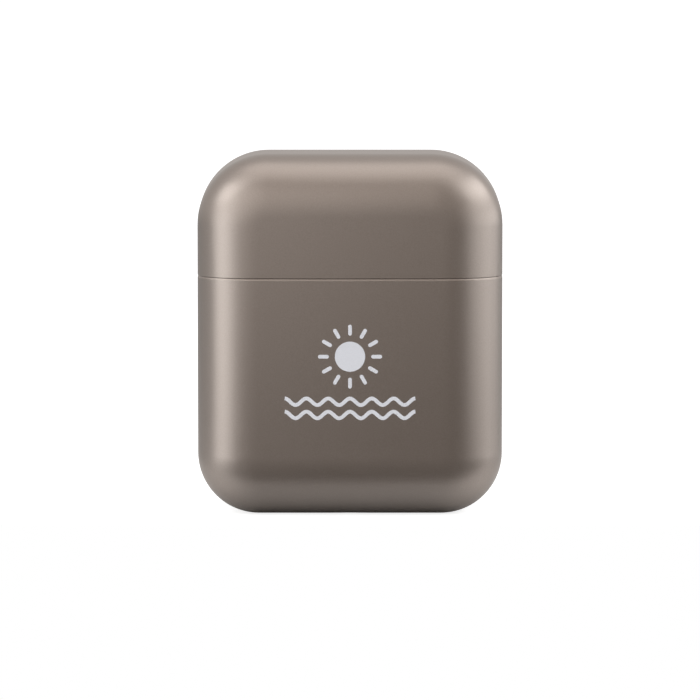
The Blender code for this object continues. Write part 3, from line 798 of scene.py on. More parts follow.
def poured_balm():
    """Sunscreen balm cast in its pack: ivory wax with a smooth skin, faint mottling and a few fine pits."""
    material, tree, shader = new_material("poured_balm", finishes().balm, {
        "IOR": 1.45,
        "Subsurface Weight": 0.5,
        "Subsurface Radius": (1, 0.85, 0.6),
        "Subsurface Scale": 0.8 * MM,
    })
    # Mottling of a few millimetres where the wax set at different times
    skin = speckled(tree, shader, 3 * MM, 0.02, (0.38, 0.5), 0.02 * MM)
    # Air pits, about 0.25 mm wide at half their depth and some 2 mm apart
    cells = node(
        tree, "ShaderNodeTexVoronoi", {"feature": "F1"},
        {
            "Vector": node(tree, "ShaderNodeTexCoord").outputs["Object"],
            "Scale": 1 / (2 * MM),
            "Randomness": 1,
        },
    )
    pit = node(
        tree, "ShaderNodeMapRange", {"interpolation_type": "SMOOTHSTEP"},
        {"Value": cells.outputs["Distance"], "From Min": 0.03, "From Max": 0.1, "To Min": 0.0, "To Max": 1.0},
    )
    pits = node(
        tree, "ShaderNodeBump", inputs={"Strength": 0.6, "Distance": 0.05 * MM, "Height": pit, "Normal": skin}
    )
    tree.links.new(pits.outputs[0], shader.inputs["Normal"])
    return material


def pad_printed_ink():
    """Pad-printed two-part ink: pale, matt and a little uneven where the pad lifted."""
    material, tree, shader = new_material("pad_printed_ink", finishes().ink)
    speckled(tree, shader, 0.15 * MM, 0.02, (0.5, 0.6), 0.001 * MM)
    return material


def add_piece(name, mesh, material, body, slot, *nodes):
    """Add a finished piece, on its body and in place of its solids."""
    mesh.name = name
    mesh.materials.clear()
    mesh.materials.append(material)
    piece = bpy.data.objects.new(name, mesh)
    bpy.context.scene.collection.objects.link(piece)
    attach(piece, body)
    if nodes:
        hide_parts(*nodes)
    return piece


# The case's outer edge rolls in by this much only, so that the seam stays bright down to the gap
CASE_RIM_TURN = radians(35)


class STICK_OT_outer_shells(bpy.types.Operator):
    """Build the lacquered cap and case"""

    bl_idname = "stick.outer_shells"
    bl_label = "Outer Shells"

    def execute(self, context):
        seam = (lowest("cap_shell").z + highest("body_shell").z) / 2
        lacquer = satin_metallic_lacquer()
        add_piece("cap_skin", cap_skin_mesh(seam), lacquer, "cap", "taupe_lacquer", "cap_shell")
        add_piece("case_skin", case_skin_mesh(seam), lacquer, "case", "taupe_lacquer", "body_shell")
        return {"FINISHED"}


def cap_skin_mesh(seam):
    """The outer cap, open downwards at the seam."""
    sizes = settings()
    wall = sizes.shell_wall
    rim = seam + sizes.seam_gap / 2
    edge = sizes.cap_rim_round
    above = rim + edge * 2
    rows = softened([(0, above, 0), (0, rim, edge), (wall, rim, edge), (wall, above, 0)])
    skin, hollow = skin_of(top_form()), top_form()
    cap = shell_mesh("cap_skin", skin, hollow, wall, rows[:-1], above)
    return true_normals(cap, (skin, 0, 1), (hollow, wall, -1))


def case_skin_mesh(seam):
    """The outer case, open upwards at the seam, with the dial's hole and the barrel's ribs in its foot."""
    sizes = settings()
    wall = sizes.shell_wall
    rim = seam - sizes.seam_gap / 2
    edge = sizes.case_rim_round
    below = rim - edge * 2
    reach = edge * tan(CASE_RIM_TURN / 2)
    rows = softened([
        (0, below, 0),
        (0, rim - reach * cos(CASE_RIM_TURN), edge),
        (reach * sin(CASE_RIM_TURN), rim, 0),
        (wall, rim, sizes.cap_rim_round),
        (wall, below, 0),
    ])
    skin, hollow = skin_of(foot_form()), foot_form()
    case = shell_mesh("case_skin", skin, hollow, wall, rows[:-1], below, floor=sizes.foot_wall)
    hole = mechanism().dial_radius + sizes.fit_gap
    mouth = 0.4 * MM
    bit = turned_mesh("dial_hole", [
        (0, sizes.foot_wall + OVERRUN, 0),
        (hole, sizes.foot_wall + OVERRUN, 0),
        (hole, 0, mouth),
        (hole + mouth * 2, 0, 0),
        (hole + mouth * 2, -OVERRUN, 0),
        (0, -OVERRUN, 0),
    ])
    case = worked(case, ("DIFFERENCE", bit), *[("UNION", rib) for rib in seat_ribs()])
    return true_normals(case, (skin, 0, 1), (hollow, wall, -1))


def seat_ribs():
    """Two crosses of ribs in the foot of the case, which the barrel stands on."""
    sizes = settings()
    width, reach, root = 1.1 * MM, 3 * MM, 0.2 * MM
    place = sizes.half_width - sizes.base_corner
    top = highest("dial").z
    # The ribs grow out of the inner skin and stay behind the domed outer one
    buried = sizes.shell_wall - root
    roll = sizes.face_round - buried
    flat = sizes.half_depth - sizes.face_round
    angles = [pi / 2 * i / ROUND_STEPS for i in range(ROUND_STEPS + 1)]
    curve = [(-flat - roll * sin(a), buried + roll * (1 - cos(a))) for a in angles]
    low = [(y, z) for y, z in curve if z < top]
    share = (top - low[-1][1]) / (curve[len(low)][1] - low[-1][1])
    low.append((low[-1][0] + share * (curve[len(low)][0] - low[-1][0]), top))
    section = [(-y, z) for y, z in reversed(low)] + low
    ribs = []
    for side in (-1, 1):
        build = Builder()
        near, far = [
            build.loop([(side * place + x, y, z) for y, z in section]) for x in (-width / 2, width / 2)
        ]
        build.loft([near, far])
        build.face(near)
        build.face(far)
        ribs.append(build.mesh("seat_cross_rib"))
        ends = sorted((side * place, side * (place - reach)))
        ribs.append(block_mesh("seat_rib", (ends[0], -width / 2, buried), (ends[1], width / 2, top)))
    return ribs


class STICK_OT_inner_cap(bpy.types.Operator):
    """Build the inner cap, which grips the collar and stops on its rim"""

    bl_idname = "stick.inner_cap"
    bl_label = "Inner Cap"

    def execute(self, context):
        sizes = settings()
        ledge_reach, ledge_height = 0.9 * MM, 1.2 * MM
        outer = sizes.shell_wall + sizes.fit_gap
        bore = outer + sizes.liner_wall
        passage = bore + ledge_reach
        foot = lowest("cap_liner").z
        ledge_foot = highest("inner_case").z + sizes.fit_gap
        ledge_top = ledge_foot + ledge_height
        edge = 0.12 * MM
        rows = softened([
            (outer, foot + edge * 2, 0),
            (outer, foot, edge),
            (bore, foot, edge),
            (bore, ledge_foot, 0),
            (passage, ledge_foot, edge),
            (passage, ledge_top, edge),
            (bore, ledge_top, 0),
        ])
        form = top_form()
        cap = shell_mesh("inner_cap", form, form, bore, rows, ledge_top)
        cap = true_normals(cap, (form, outer, 1), (form, bore, -1))
        add_piece("inner_cap", cap, satin_moulded_abs(), "cap", "inner_plastic", "cap_liner")
        return {"FINISHED"}


class STICK_OT_barrel(bpy.types.Operator):
    """Build the barrel with its collar, and the shoulder band that stands on its flange"""

    bl_idname = "stick.barrel"
    bl_label = "Barrel and Shoulder"

    def execute(self, context):
        plastic = satin_moulded_abs()
        edge = 0.2 * MM
        band, barrel = band_mesh(edge), barrel_mesh(edge)
        add_piece("shoulder_band", flat_and_round(band), plastic, "case", "inner_plastic", "shoulder_ring")
        add_piece("barrel", flat_and_round(barrel), plastic, "case", "inner_plastic", "inner_case")
        return {"FINISHED"}


def barrel_depth():
    """How deep the barrel lies in the outer form, behind shell and inner cap."""
    sizes = settings()
    return sizes.shell_wall + sizes.fit_gap + sizes.liner_wall + sizes.fit_gap


def band_mesh(edge):
    """The band that fills the shoulder between the outer case and the barrel."""
    sizes = settings()
    outer = sizes.shell_wall + sizes.fit_gap
    inner = barrel_depth() - sizes.fit_gap
    foot, top = lowest("shoulder_ring").z, highest("shoulder_ring").z
    corners = [(outer, foot, edge), (outer, top, edge), (inner, top, edge), (inner, foot, edge)]
    return plan_mesh("shoulder_band", corners, ring=True)


def barrel_mesh(edge):
    """The barrel, with the flange under the band, the bead that grips the cap, and the spindle's bearing."""
    sizes = settings()
    parts = mechanism()
    flange_height, bead_drop, bead_height, bead = 1 * MM, 1 * MM, 0.7 * MM, 0.12 * MM
    outer = sizes.shell_wall + sizes.fit_gap
    wall = barrel_depth()
    bore = wall + sizes.case_wall
    flange_top = lowest("shoulder_ring").z - sizes.fit_gap
    flange_foot = flange_top - flange_height
    case_foot = highest("dial").z + sizes.fit_gap
    floor = case_foot + sizes.case_floor
    rim = highest("inner_case").z
    bead_top = rim - bead_drop
    bead_foot = bead_top - bead_height
    barrel = plan_mesh("barrel", [
        (wall + edge * 2, case_foot, 0),
        (wall, case_foot, edge),
        (wall, flange_foot, 0),
        (outer, flange_foot, edge / 2),
        (outer, flange_top, edge / 2),
        (wall, flange_top, 0),
        (wall, bead_foot, 0),
        (wall - bead, bead_foot + bead, bead),
        (wall - bead, bead_top - bead, bead),
        (wall, bead_top, 0),
        (wall, rim, edge),
        (bore, rim, edge),
        (bore, floor, edge),
        (bore + edge * 2, floor, 0),
    ])
    hub_room = parts.hub_radius + sizes.fit_gap
    boss_radius = hub_room + 1.4 * MM
    boss_top = floor - sizes.case_floor / 2
    boss_foot = lowest("inner_case").z
    boss = turned_mesh("bearing_boss", [
        (0, boss_top, 0), (boss_radius, boss_top, 0), (boss_radius, boss_foot, edge), (0, boss_foot, 0),
    ])
    seat = lowest("spindle_seal").z - sizes.fit_gap
    seat_radius = highest("spindle_seal").x + sizes.fit_gap
    journal = parts.journal_radius + sizes.fit_gap
    bit = turned_mesh("bearing_bore", [
        (0, floor + OVERRUN, 0),
        (seat_radius, floor + OVERRUN, 0),
        (seat_radius, seat, 0),
        (journal, seat, 0),
        (journal, case_foot, 0),
        (hub_room, case_foot, edge),
        (hub_room, boss_foot - OVERRUN, 0),
        (0, boss_foot - OVERRUN, 0),
    ])
    return worked(barrel, ("UNION", boss), ("DIFFERENCE", bit))


# Wall of the nut sleeve, the room over the spindle in it, and the round on its top
SLEEVE_WALL = 1 * MM
SLEEVE_ROOM = 0.4 * MM
SLEEVE_ROUND = 0.45 * MM
# The two ribs on the lift cup's floor that hold the balm
ANCHOR_HALF_LENGTH = 4.5 * MM
ANCHOR_HALF_WIDTH = 0.6 * MM
ANCHOR_HEIGHT = 2.2 * MM
# Round on the edges of cup, spindle and balm
FINE_ROUND = 0.15 * MM


def cup_depth():
    """How deep the lift cup and the balm lie in the outer form."""
    sizes = settings()
    return sizes.shell_wall + sizes.liner_wall + sizes.case_wall + sizes.fit_gap * 2 + sizes.slide_gap


def sleeve_radius():
    """Outer radius of the nut sleeve."""
    return mechanism().crest_radius + settings().fit_gap + SLEEVE_WALL


def anchor_blocks(name, place, room, low, high):
    """Two blocks to the left and right of the axis, as large as the anchor ribs with some room round them."""
    along, across = ANCHOR_HALF_LENGTH + room, ANCHOR_HALF_WIDTH + room
    return [
        block_mesh(name, (side * place - along, -across, low), (side * place + along, across, high))
        for side in (-1, 1)
    ]


def thread_mesh(name, foot, top, foot_radius, crest_radius, foot_width, crest_width, turn, material):
    """A left-hand ridge between two heights, with axial widths, which starts down from its top at a turn."""
    run_out = 0.2
    lead = mechanism().lead
    turns = (top - foot) / lead
    # The section stands square to the helix, so its widths are less than along the axis
    lean = cos(atan2(lead, pi * (foot_radius + crest_radius)))
    ridge = grown(name, draw_thread, {
        "Turns": turns,
        "Foot Radius": foot_radius,
        "Rise": top - foot,
        "Foot Width": foot_width * lean,
        "Crest Width": crest_width * lean,
        "Ridge Height": abs(crest_radius - foot_radius),
        "Crest Round": 0.12 * MM,
        "Section Turn": copysign(pi / 2, crest_radius - foot_radius),
        "Run-out Share": run_out / turns,
    }, material)
    ridge.transform(Matrix.Translation((0, 0, foot)) @ Matrix.Rotation(turns * tau + turn, 4, "Z"))
    return ridge


class STICK_OT_lift(bpy.types.Operator):
    """Build the lift cup with its nut thread, the spindle and its ring seal"""

    bl_idname = "stick.lift"
    bl_label = "Lift Cup and Spindle"

    def execute(self, context):
        plastic = natural_polypropylene()
        # The spindle's ridge runs between these heights, and both threads are sunk in what carries them
        half_root = mechanism().root_width / 2
        ridge = lowest("lift_cup").z + half_root, highest("spindle").z - half_root - settings().fit_gap
        bite = 0.25 * MM
        cup = flat_and_round(cup_mesh(ridge, bite, plastic))
        add_piece("lift_cup_fine", cup, plastic, "stick", "mechanism_plastic", "lift_cup")
        spindle = flat_and_round(spindle_mesh(ridge, bite, plastic))
        add_piece("spindle_fine", spindle, plastic, "turning_dial", "mechanism_plastic", "spindle")
        seal = flat_and_round(seal_mesh())
        add_piece("ring_seal", seal, clear_silicone(), "case", "seal_rubber", "spindle_seal")
        return {"FINISHED"}


def cup_mesh(ridge, bite, plastic):
    """The lift cup: a tray for the balm with a skirt, anchor ribs, and a sleeve with the nut thread."""
    sizes = settings()
    parts = mechanism()
    wall = cup_depth()
    bore = wall + sizes.cup_wall
    edge = FINE_ROUND
    skirt = 3 * MM
    rim = highest("lift_cup").z
    floor = lowest("balm_stick").z - sizes.fit_gap
    ceiling = floor - sizes.cup_floor
    foot = ceiling - skirt
    cup = plan_mesh("lift_cup", [
        (bore + edge * 2, ceiling, 0),
        (bore, ceiling, edge),
        (bore, foot, edge),
        (wall, foot, edge),
        (wall, rim, edge),
        (bore, rim, edge),
        (bore, floor, edge),
        (bore + edge * 2, floor, 0),
    ])
    radius = sleeve_radius()
    sleeve_bore = parts.crest_radius + sizes.fit_gap
    sleeve_foot = lowest("lift_cup").z
    dome = highest("spindle").z + SLEEVE_ROOM
    sleeve_top = dome + SLEEVE_WALL
    sleeve = turned_mesh("nut_sleeve", [
        (0, sleeve_top, 0),
        (radius, sleeve_top, SLEEVE_ROUND),
        (radius, sleeve_foot, edge),
        (0, sleeve_foot, 0),
    ])
    bit = turned_mesh("nut_bore", [
        (0, dome, 0),
        (sleeve_bore, dome, edge),
        (sleeve_bore, sleeve_foot - OVERRUN, 0),
        (0, sleeve_foot - OVERRUN, 0),
    ])
    place = (radius + sizes.half_width - bore) / 2
    ribs = anchor_blocks("anchor_rib", place, 0, floor - sizes.cup_floor / 2, floor + ANCHOR_HEIGHT)

    root_width, crest_width = parts.root_width, parts.crest_width
    nut_foot = ridge[0] + sizes.fit_gap * 2
    nut_top = nut_foot + parts.lead
    # Axial gap at each flank that leaves the fit gap square to the flank
    height = parts.crest_radius - parts.root_radius
    side_gap = sizes.fit_gap * hypot((root_width - crest_width) / 2, height) / height
    # The nut's ridge lies halfway between the ridges of the spindle
    phase = tau * (((ridge[1] - nut_top) / parts.lead - 1 / 2) % 1)
    thread = thread_mesh(
        "nut_thread", nut_foot, nut_top, sleeve_bore + bite, parts.root_radius + sizes.fit_gap,
        parts.lead - crest_width - 2 * side_gap, parts.lead - root_width - 2 * side_gap, phase, plastic,
    )
    joined = [("UNION", rib) for rib in ribs]
    return worked(cup, *joined, ("UNION", sleeve), ("DIFFERENCE", bit), ("UNION", thread))


def spindle_mesh(ridge, bite, plastic):
    """The spindle: a core with its flange and journal, the square key for the dial, and the thread."""
    sizes = settings()
    parts = mechanism()
    edge = FINE_ROUND
    flange_height, key_sink, tip_round = 1 * MM, 0.3 * MM, 0.5 * MM
    top, low = highest("spindle").z, lowest("spindle").z
    flange_radius = highest("spindle").x
    flange_foot = highest("spindle_seal").z + sizes.fit_gap
    flange_top = flange_foot + flange_height
    journal_foot = highest("dial").z
    core = turned_mesh("spindle", [
        (0, top, 0),
        (parts.root_radius, top, tip_round),
        (parts.root_radius, flange_top, edge),
        (flange_radius, flange_top, edge),
        (flange_radius, flange_foot, edge),
        (parts.journal_radius, flange_foot, 0),
        (parts.journal_radius, journal_foot, 0),
        (0, journal_foot, 0),
    ])
    half = parts.key_width / 2
    key = block_mesh("spindle_key", (-half, -half, low), (half, half, journal_foot + key_sink))
    thread = thread_mesh(
        "spindle_thread", *ridge, parts.root_radius - bite, parts.crest_radius, parts.root_width,
        parts.crest_width, 0, plastic,
    )
    return worked(core, ("UNION", key), ("UNION", thread))


def seal_mesh():
    """The ring seal, a round cord."""
    low, high = lowest("spindle_seal"), highest("spindle_seal")
    cord = (high.z - low.z) / 2
    middle, height = high.x - cord, (low.z + high.z) / 2
    angles = [tau * i / CORD_STEPS for i in range(CORD_STEPS)]
    return turned_mesh(
        "ring_seal", [(middle + cord * cos(a), height + cord * sin(a), 0) for a in angles], ring=True
    )


class STICK_OT_dial(bpy.types.Operator):
    """Build the dial in the base"""

    bl_idname = "stick.dial"
    bl_label = "Dial"

    def execute(self, context):
        sizes = settings()
        parts = mechanism()
        lip_height, edge = 1 * MM, 0.25 * MM
        face, top = lowest("dial").z, highest("dial").z
        lip = highest("dial").x
        lip_top = lowest("inner_case").z - sizes.fit_gap
        lip_foot = lip_top - lip_height
        dial = turned_mesh("dial", [
            (0, top, 0),
            (parts.hub_radius, top, edge),
            (parts.hub_radius, lip_top, edge),
            (lip, lip_top, edge),
            (lip, lip_foot, edge),
            (parts.dial_radius, lip_foot, 0),
            (parts.dial_radius, face, edge),
            (0, face, 0),
        ])
        pockets = [("DIFFERENCE", finger_pocket(side, face)) for side in (-1, 1)]
        half = parts.key_width / 2 + sizes.fit_gap
        socket_foot = lowest("spindle").z - sizes.fit_gap
        socket = block_mesh("key_socket", (-half, -half, socket_foot), (half, half, top + OVERRUN))
        dial = flat_and_round(worked(dial, *pockets, ("DIFFERENCE", socket)))
        add_piece("turning_knob", dial, dark_moulded_abs(), "turning_dial", "dial_plastic", "dial")
        return {"FINISHED"}


def finger_pocket(side, face):
    """The bit for one half-moon pocket beside the finger bar, with its mouth and floor rounded."""
    parts = mechanism()
    rim, mouth, root, corner = 1 * MM, 0.25 * MM, 0.4 * MM, 0.5 * MM
    radius = parts.dial_radius - rim
    bar = parts.finger_bar / 2
    top = face + parts.pocket_depth
    rows = [(-mouth, face - OVERRUN)]
    rows += softened([(-mouth, face, 0), (0, face, mouth), (0, top, root), (root, top, 0)])
    build = Builder()
    loops = []
    for inset, z in rows:
        outline = half_moon(radius - inset, bar + inset, corner + (mouth - inset) / 2)
        loops.append(build.loop([(side * x, side * y, z) for x, y in outline]))
    build.loft(loops)
    build.face(loops[0])
    build.face(loops[-1])
    return build.mesh("finger_pocket")


def half_moon(radius, chord, corner, corner_steps=10, crown_steps=40):
    """Outline of the part of a disc beyond a chord, with its two corners rounded."""
    # The corner's circle touches the chord from above and the disc's edge from inside
    centre = (((radius - corner) ** 2 - (chord + corner) ** 2) ** 0.5, chord + corner)
    out = atan2(centre[1], centre[0])
    right = arc(centre, corner, -pi / 2, out, corner_steps)
    crown = arc((0, 0), radius, out, pi - out, crown_steps)
    left = arc((-centre[0], centre[1]), corner, pi - out, 3 * pi / 2, corner_steps)
    return right[:-1] + crown + left[1:]


class STICK_OT_balm(bpy.types.Operator):
    """Build the stick of balm"""

    bl_idname = "stick.balm"
    bl_label = "Balm"

    def execute(self, context):
        sizes = settings()
        box = highest("balm_stick")
        roof_depth = sizes.shell_wall + sizes.fit_gap + sizes.liner_wall
        form = Form(box.x, box.y, box.z, sizes.top_corner - roof_depth, sizes.face_round - cup_depth())
        foot = highest("lift_cup").z + sizes.fit_gap
        plug = sizes.cup_wall + sizes.fit_gap
        low = lowest("balm_stick").z
        edge = FINE_ROUND
        rows = softened([
            (0, foot + edge * 2, 0), (0, foot, edge), (plug, foot, 0), (plug, low, edge),
            (plug + edge * 2, low, 0),
        ])
        build = Builder()
        loops = [build.skin(form, 0, rows[0][1])]
        loops += [build.loop(form.rim(inset, z)) for inset, z in rows[1:]]
        build.loft(loops)
        build.face(loops[-1])
        radius = sleeve_radius()
        room = radius + sizes.fit_gap
        room_top = highest("spindle").z + SLEEVE_ROOM + SLEEVE_WALL + sizes.fit_gap
        bit = turned_mesh("sleeve_room", [
            (0, room_top, 0), (room, room_top, SLEEVE_ROUND), (room, low - OVERRUN, 0), (0, low - OVERRUN, 0),
        ])
        place = (radius + box.x - sizes.cup_wall) / 2
        slots = anchor_blocks("anchor_slot", place, sizes.fit_gap, low - OVERRUN, low + ANCHOR_HEIGHT)
        balm = worked(build.mesh("balm"), ("DIFFERENCE", bit), *[("DIFFERENCE", slot) for slot in slots])
        balm = true_normals(balm, (form, 0, 1))
        add_piece("balm_block", balm, poured_balm(), "stick", "balm", "balm_stick")
        return {"FINISHED"}


class STICK_OT_print(bpy.types.Operator):
    """Print the generic marks on the front of the case"""

    bl_idname = "stick.print_marks"
    bl_label = "Printed Marks"

    def execute(self, context):
        sizes = settings()
        marks = context.scene.stick_print
        ink = pad_printed_ink()
        # A printed film is about 0.01 mm thick, and is drawn thicker, with half of it sunk into the lacquer
        film = 0.03 * MM
        row = marks.wave_length * marks.wave_count
        sun = grown("sun_mark", draw_sun, {
            "Disc Radius": marks.disc_radius,
            "Ray Count": marks.ray_count,
            "Ray Angle": tau / marks.ray_count,
            "Ray Middle": marks.ray_start + marks.ray_length / 2,
            "Ray Length": marks.ray_length,
            "Ray Width": marks.line_width,
            # Just under half of the width, so that no two corners of a ray fall together
            "Ray Round": marks.line_width * 0.49,
            "Thickness": film,
        }, ink)
        waves = grown("wave_mark", draw_waves, {
            "Row Length": row,
            "Points": marks.wave_count * WAVE_STEPS + 1,
            "Phase per Metre": tau / marks.wave_length,
            "Wave Height": marks.wave_height,
            "Line Width": marks.line_width,
            "Thickness": film,
            "Row Pitch": -marks.wave_pitch,
        }, ink)
        stand = Matrix.Rotation(pi / 2, 4, "X")
        front = -sizes.half_depth
        under = marks.height - marks.ray_start - marks.ray_length - marks.wave_pitch
        sun.transform(Matrix.Translation((0, front + film / 2, marks.height)) @ stand)
        waves.transform(Matrix.Translation((-row / 2, front, under)) @ stand)
        face = skin_of(foot_form())
        for name, mesh in (("sun_mark", sun), ("wave_mark", waves)):
            for vertex in mesh.vertices:
                vertex.co.y += face.fall(vertex.co.x, vertex.co.z)
            mesh.set_sharp_from_angle(angle=SMOOTH_ANGLE)
            add_piece(name, mesh, ink, "case", "taupe_lacquer")
        return {"FINISHED"}


LAMPS = [
    # name, azimuth, elevation, width and height in degrees seen from the object, radiance, sRGB tint
    ("left_strip_softbox", -52, -1, 34, 30, 3.1, "F8FCFF"),
    ("left_high_softbox", -62, 33, 32, 24, 3.8, "F8FCFF"),
    ("right_strip_softbox", 78, 3, 86, 22, 2.0, "F8FCFF"),
    ("right_high_softbox", 80, 36, 62, 22, 2.95, "F8FCFF"),
    ("overhead_softbox", 0, 77, 60, 50, 1.1, "FFFFFF"),
    ("front_fill", -18, 18, 40, 40, 1.0, "FFFFFF"),
]
LAMP_DISTANCE = 0.8
# The floor reaches far back and to the sides. Its front edge is near, so that the face mirrors the dim room
FLOOR_SIZE = 3
FLOOR_FRONT = 0.02
FLOOR_DROP = 0.02 * MM
CLIP_END = 100


def facing(azimuth, elevation):
    """Direction from the object, at an azimuth that is 0 at the camera and grows to the right."""
    return Vector((sin(azimuth) * cos(elevation), -cos(azimuth) * cos(elevation), sin(elevation)))


def add_lamp(name, azimuth, elevation, width, height, radiance, tint):
    """A soft rectangular lamp that fills the given angles seen from the object."""
    lamp = bpy.data.lights.new(name, "AREA")
    lamp.shape = "RECTANGLE"
    lamp.size = 2 * LAMP_DISTANCE * tan(radians(width) / 2)
    lamp.size_y = 2 * LAMP_DISTANCE * tan(radians(height) / 2)
    lamp.energy = radiance * pi * lamp.size * lamp.size_y
    lamp.color = linear(tint)[:3]
    obj = bpy.data.objects.new(name, lamp)
    out = facing(radians(azimuth), radians(elevation))
    obj.location = Vector((0, 0, settings().height / 2)) + out * LAMP_DISTANCE
    obj.rotation_euler = out.to_track_quat("Z", "Y").to_euler()
    obj.visible_camera = False
    bpy.context.scene.collection.objects.link(obj)


def mirror_rays(tree):
    """1 for the rays that metal and glass show, which are those mirrored and those let through."""
    path = node(tree, "ShaderNodeLightPath").outputs
    return node(
        tree, "ShaderNodeMath", {"operation": "MAXIMUM"},
        {0: path["Is Glossy Ray"], 1: path["Is Transmission Ray"]},
    )


def studio_world():
    """White to the camera, a backdrop and a dim room to mirrored rays, and a soft ceiling to all others."""
    world = bpy.data.worlds.new("studio")
    world.use_nodes = True
    tree = world.node_tree
    tree.nodes.clear()
    way = node(tree, "ShaderNodeTexCoord").outputs["Generated"]
    direction = node(tree, "ShaderNodeSeparateXYZ", inputs={"Vector": way})
    mirrored = mirror_rays(tree)
    # The room is darker below the horizon, where its floor is
    room = node(
        tree, "ShaderNodeMapRange", {"interpolation_type": "SMOOTHSTEP"},
        {"Value": direction.outputs["Z"], "From Min": -0.1, "From Max": 0.3, "To Min": 0.13, "To Max": 0.34},
    )
    # Mirrored rays meet the white backdrop behind the object only, and not at its full strength
    behind = node(
        tree, "ShaderNodeMapRange", {"interpolation_type": "SMOOTHSTEP"},
        {"Value": direction.outputs["Y"], "From Min": -0.7, "From Max": 0.3, "To Min": 0, "To Max": 0.75},
    )
    ceiling = node(
        tree, "ShaderNodeMapRange", None,
        {"Value": direction.outputs["Z"], "From Min": 0, "From Max": 0.7, "To Min": 0.1, "To Max": 0.6},
    )
    strength = node(tree, "ShaderNodeMix", {"data_type": "FLOAT"}, {0: mirrored, 2: ceiling, 3: room})
    tint = node(
        tree, "ShaderNodeMix", {"data_type": "RGBA"}, {0: mirrored, 6: linear("FFFFFF"), 7: linear("FFECDC")}
    )
    room_light = node(
        tree, "ShaderNodeBackground", inputs={"Color": tint.outputs[2], "Strength": strength}
    )
    backdrop = node(tree, "ShaderNodeBackground", inputs={"Color": linear("FFFFFF"), "Strength": 1})
    seen = node(tree, "ShaderNodeLightPath").outputs["Is Camera Ray"]
    mirrored_behind = node(tree, "ShaderNodeMath", {"operation": "MULTIPLY"}, {0: mirrored, 1: behind})
    share = node(tree, "ShaderNodeMath", {"operation": "MAXIMUM"}, {0: seen, 1: mirrored_behind})
    surface = node(tree, "ShaderNodeMixShader", inputs={0: share, 1: room_light, 2: backdrop})
    node(tree, "ShaderNodeOutputWorld", inputs={"Surface": surface})
    return world


def floor_paint():
    """Matte pale floor, which the camera sees lifted to white, so that it meets the white backdrop unseen. To
    mirrored rays it also glows beside the object: a painted reflection that brightens the shells' lower
    corners.
    """
    material, tree, shader = new_material("matte_floor", linear("C0C0C0"), {
        "Roughness": 0.9,
        "Specular IOR Level": 0.2,
        "Emission Color": (1, 1, 1, 1),
    })
    seen = node(tree, "ShaderNodeLightPath").outputs["Is Camera Ray"]
    # Painted reflection: to mirrored rays the floor glows on both sides of the object, most at 30 to 35 mm
    # from its middle, though no lamp is there, and the shells' lower corners mirror it as light
    place = node(tree, "ShaderNodeTexCoord").outputs["Object"]
    spot = node(tree, "ShaderNodeSeparateXYZ", inputs={"Vector": place})
    aside = node(tree, "ShaderNodeMath", {"operation": "ABSOLUTE"}, {0: spot.outputs["X"]})
    rise, decline = [
        node(
            tree, "ShaderNodeMapRange", {"interpolation_type": "SMOOTHSTEP"},
            {"Value": aside, "From Min": start, "From Max": end, "To Min": 0, "To Max": top},
        )
        for start, end, top in ((14 * MM, 30 * MM, 0.45), (80 * MM, 35 * MM, 1))
    ]
    painted_glow = node(tree, "ShaderNodeMath", {"operation": "MULTIPLY"}, {0: rise, 1: decline})
    # Painted reflection: only mirrored rays see this glow, so it brightens the shells' lower corners and
    # lights nothing else
    faint = node(tree, "ShaderNodeMath", {"operation": "MULTIPLY"}, {0: mirror_rays(tree), 1: painted_glow})
    # The camera sees the floor lifted evenly to white, and mirrored rays see the painted glow
    lift = node(tree, "ShaderNodeMath", {"operation": "MULTIPLY_ADD"}, {0: seen, 1: 0.8, 2: faint})
    tree.links.new(lift.outputs[0], shader.inputs["Emission Strength"])
    return material


def add_floor():
    """The floor, whose front edge is near the object."""
    bm = bmesh.new()
    bmesh.ops.create_grid(bm, x_segments=1, y_segments=1, size=FLOOR_SIZE / 2)
    bmesh.ops.translate(bm, verts=bm.verts, vec=(0, FLOOR_SIZE / 2 - FLOOR_FRONT, -FLOOR_DROP))
    mesh = bpy.data.meshes.new("floor")
    bm.to_mesh(mesh)
    bm.free()
    mesh.materials.append(floor_paint())
    floor = bpy.data.objects.new("floor", mesh)
    bpy.context.scene.collection.objects.link(floor)


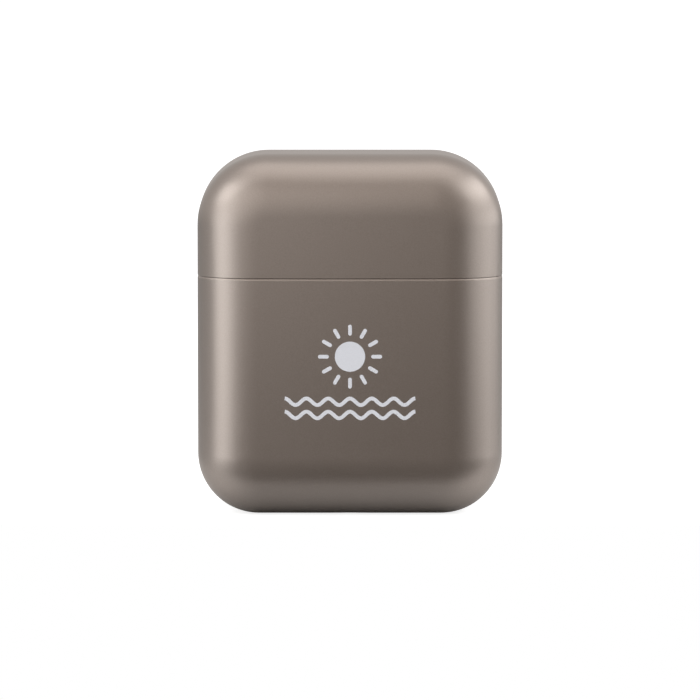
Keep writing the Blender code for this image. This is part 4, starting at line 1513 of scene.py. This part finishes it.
class STICK_OT_stage(bpy.types.Operator):
    """Set up the camera, the floor and the studio light"""

    bl_idname = "stick.stage"
    bl_label = "Stage"

    def execute(self, context):
        stage = context.scene.stick_stage
        aim = Vector((0, 0, stage.aim_height))
        back = facing(0, stage.elevation)
        camera = bpy.data.objects.new("camera", bpy.data.cameras.new("camera"))
        context.scene.collection.objects.link(camera)
        camera.data.lens = stage.lens
        camera.data.clip_end = CLIP_END
        camera.location = aim + back * stage.distance
        camera.rotation_euler = (-back).to_track_quat("-Z", "Y").to_euler()
        context.scene.camera = camera
        context.scene.view_settings.view_transform = "Standard"
        add_floor()
        for lamp in LAMPS:
            add_lamp(*lamp)
        context.scene.world = studio_world()
        return {"FINISHED"}


OPERATORS = [
    STICK_OT_outer_shells, STICK_OT_inner_cap, STICK_OT_barrel, STICK_OT_lift, STICK_OT_dial, STICK_OT_balm,
    STICK_OT_print, STICK_OT_stage,
]


class STICK_PT_panel(bpy.types.Panel):
    """Builds the stick piece by piece"""

    bl_label = "Sunscreen Stick"
    bl_idname = "STICK_PT_panel"
    bl_space_type = "VIEW_3D"
    bl_region_type = "UI"
    bl_category = "Sunscreen Stick"

    def draw(self, context):
        for operator in OPERATORS:
            self.layout.operator(operator.bl_idname)
        for scene_name in GROUPS:
            group = getattr(context.scene, scene_name)
            for name in group.__annotations__:
                self.layout.prop(group, name)


GROUPS = {
    "stick_sizes": StickSizes,
    "stick_mechanism": StickMechanism,
    "stick_finish": StickFinish,
    "stick_print": StickPrint,
    "stick_stage": StickStage,
}
CLASSES = [*GROUPS.values(), *OPERATORS, STICK_PT_panel]


def register():
    for cls in CLASSES:
        bpy.utils.register_class(cls)
    for scene_name, group in GROUPS.items():
        setattr(bpy.types.Scene, scene_name, bpy.props.PointerProperty(type=group))


def unregister():
    for scene_name in GROUPS:
        delattr(bpy.types.Scene, scene_name)
    for cls in reversed(CLASSES):
        bpy.utils.unregister_class(cls)


def main():
    register()
    bpy.ops.stick.outer_shells()
    bpy.ops.stick.inner_cap()
    bpy.ops.stick.barrel()
    bpy.ops.stick.lift()
    bpy.ops.stick.dial()
    bpy.ops.stick.balm()
    bpy.ops.stick.print_marks()
    bpy.ops.stick.stage()


if __name__ == "__main__":
    main()
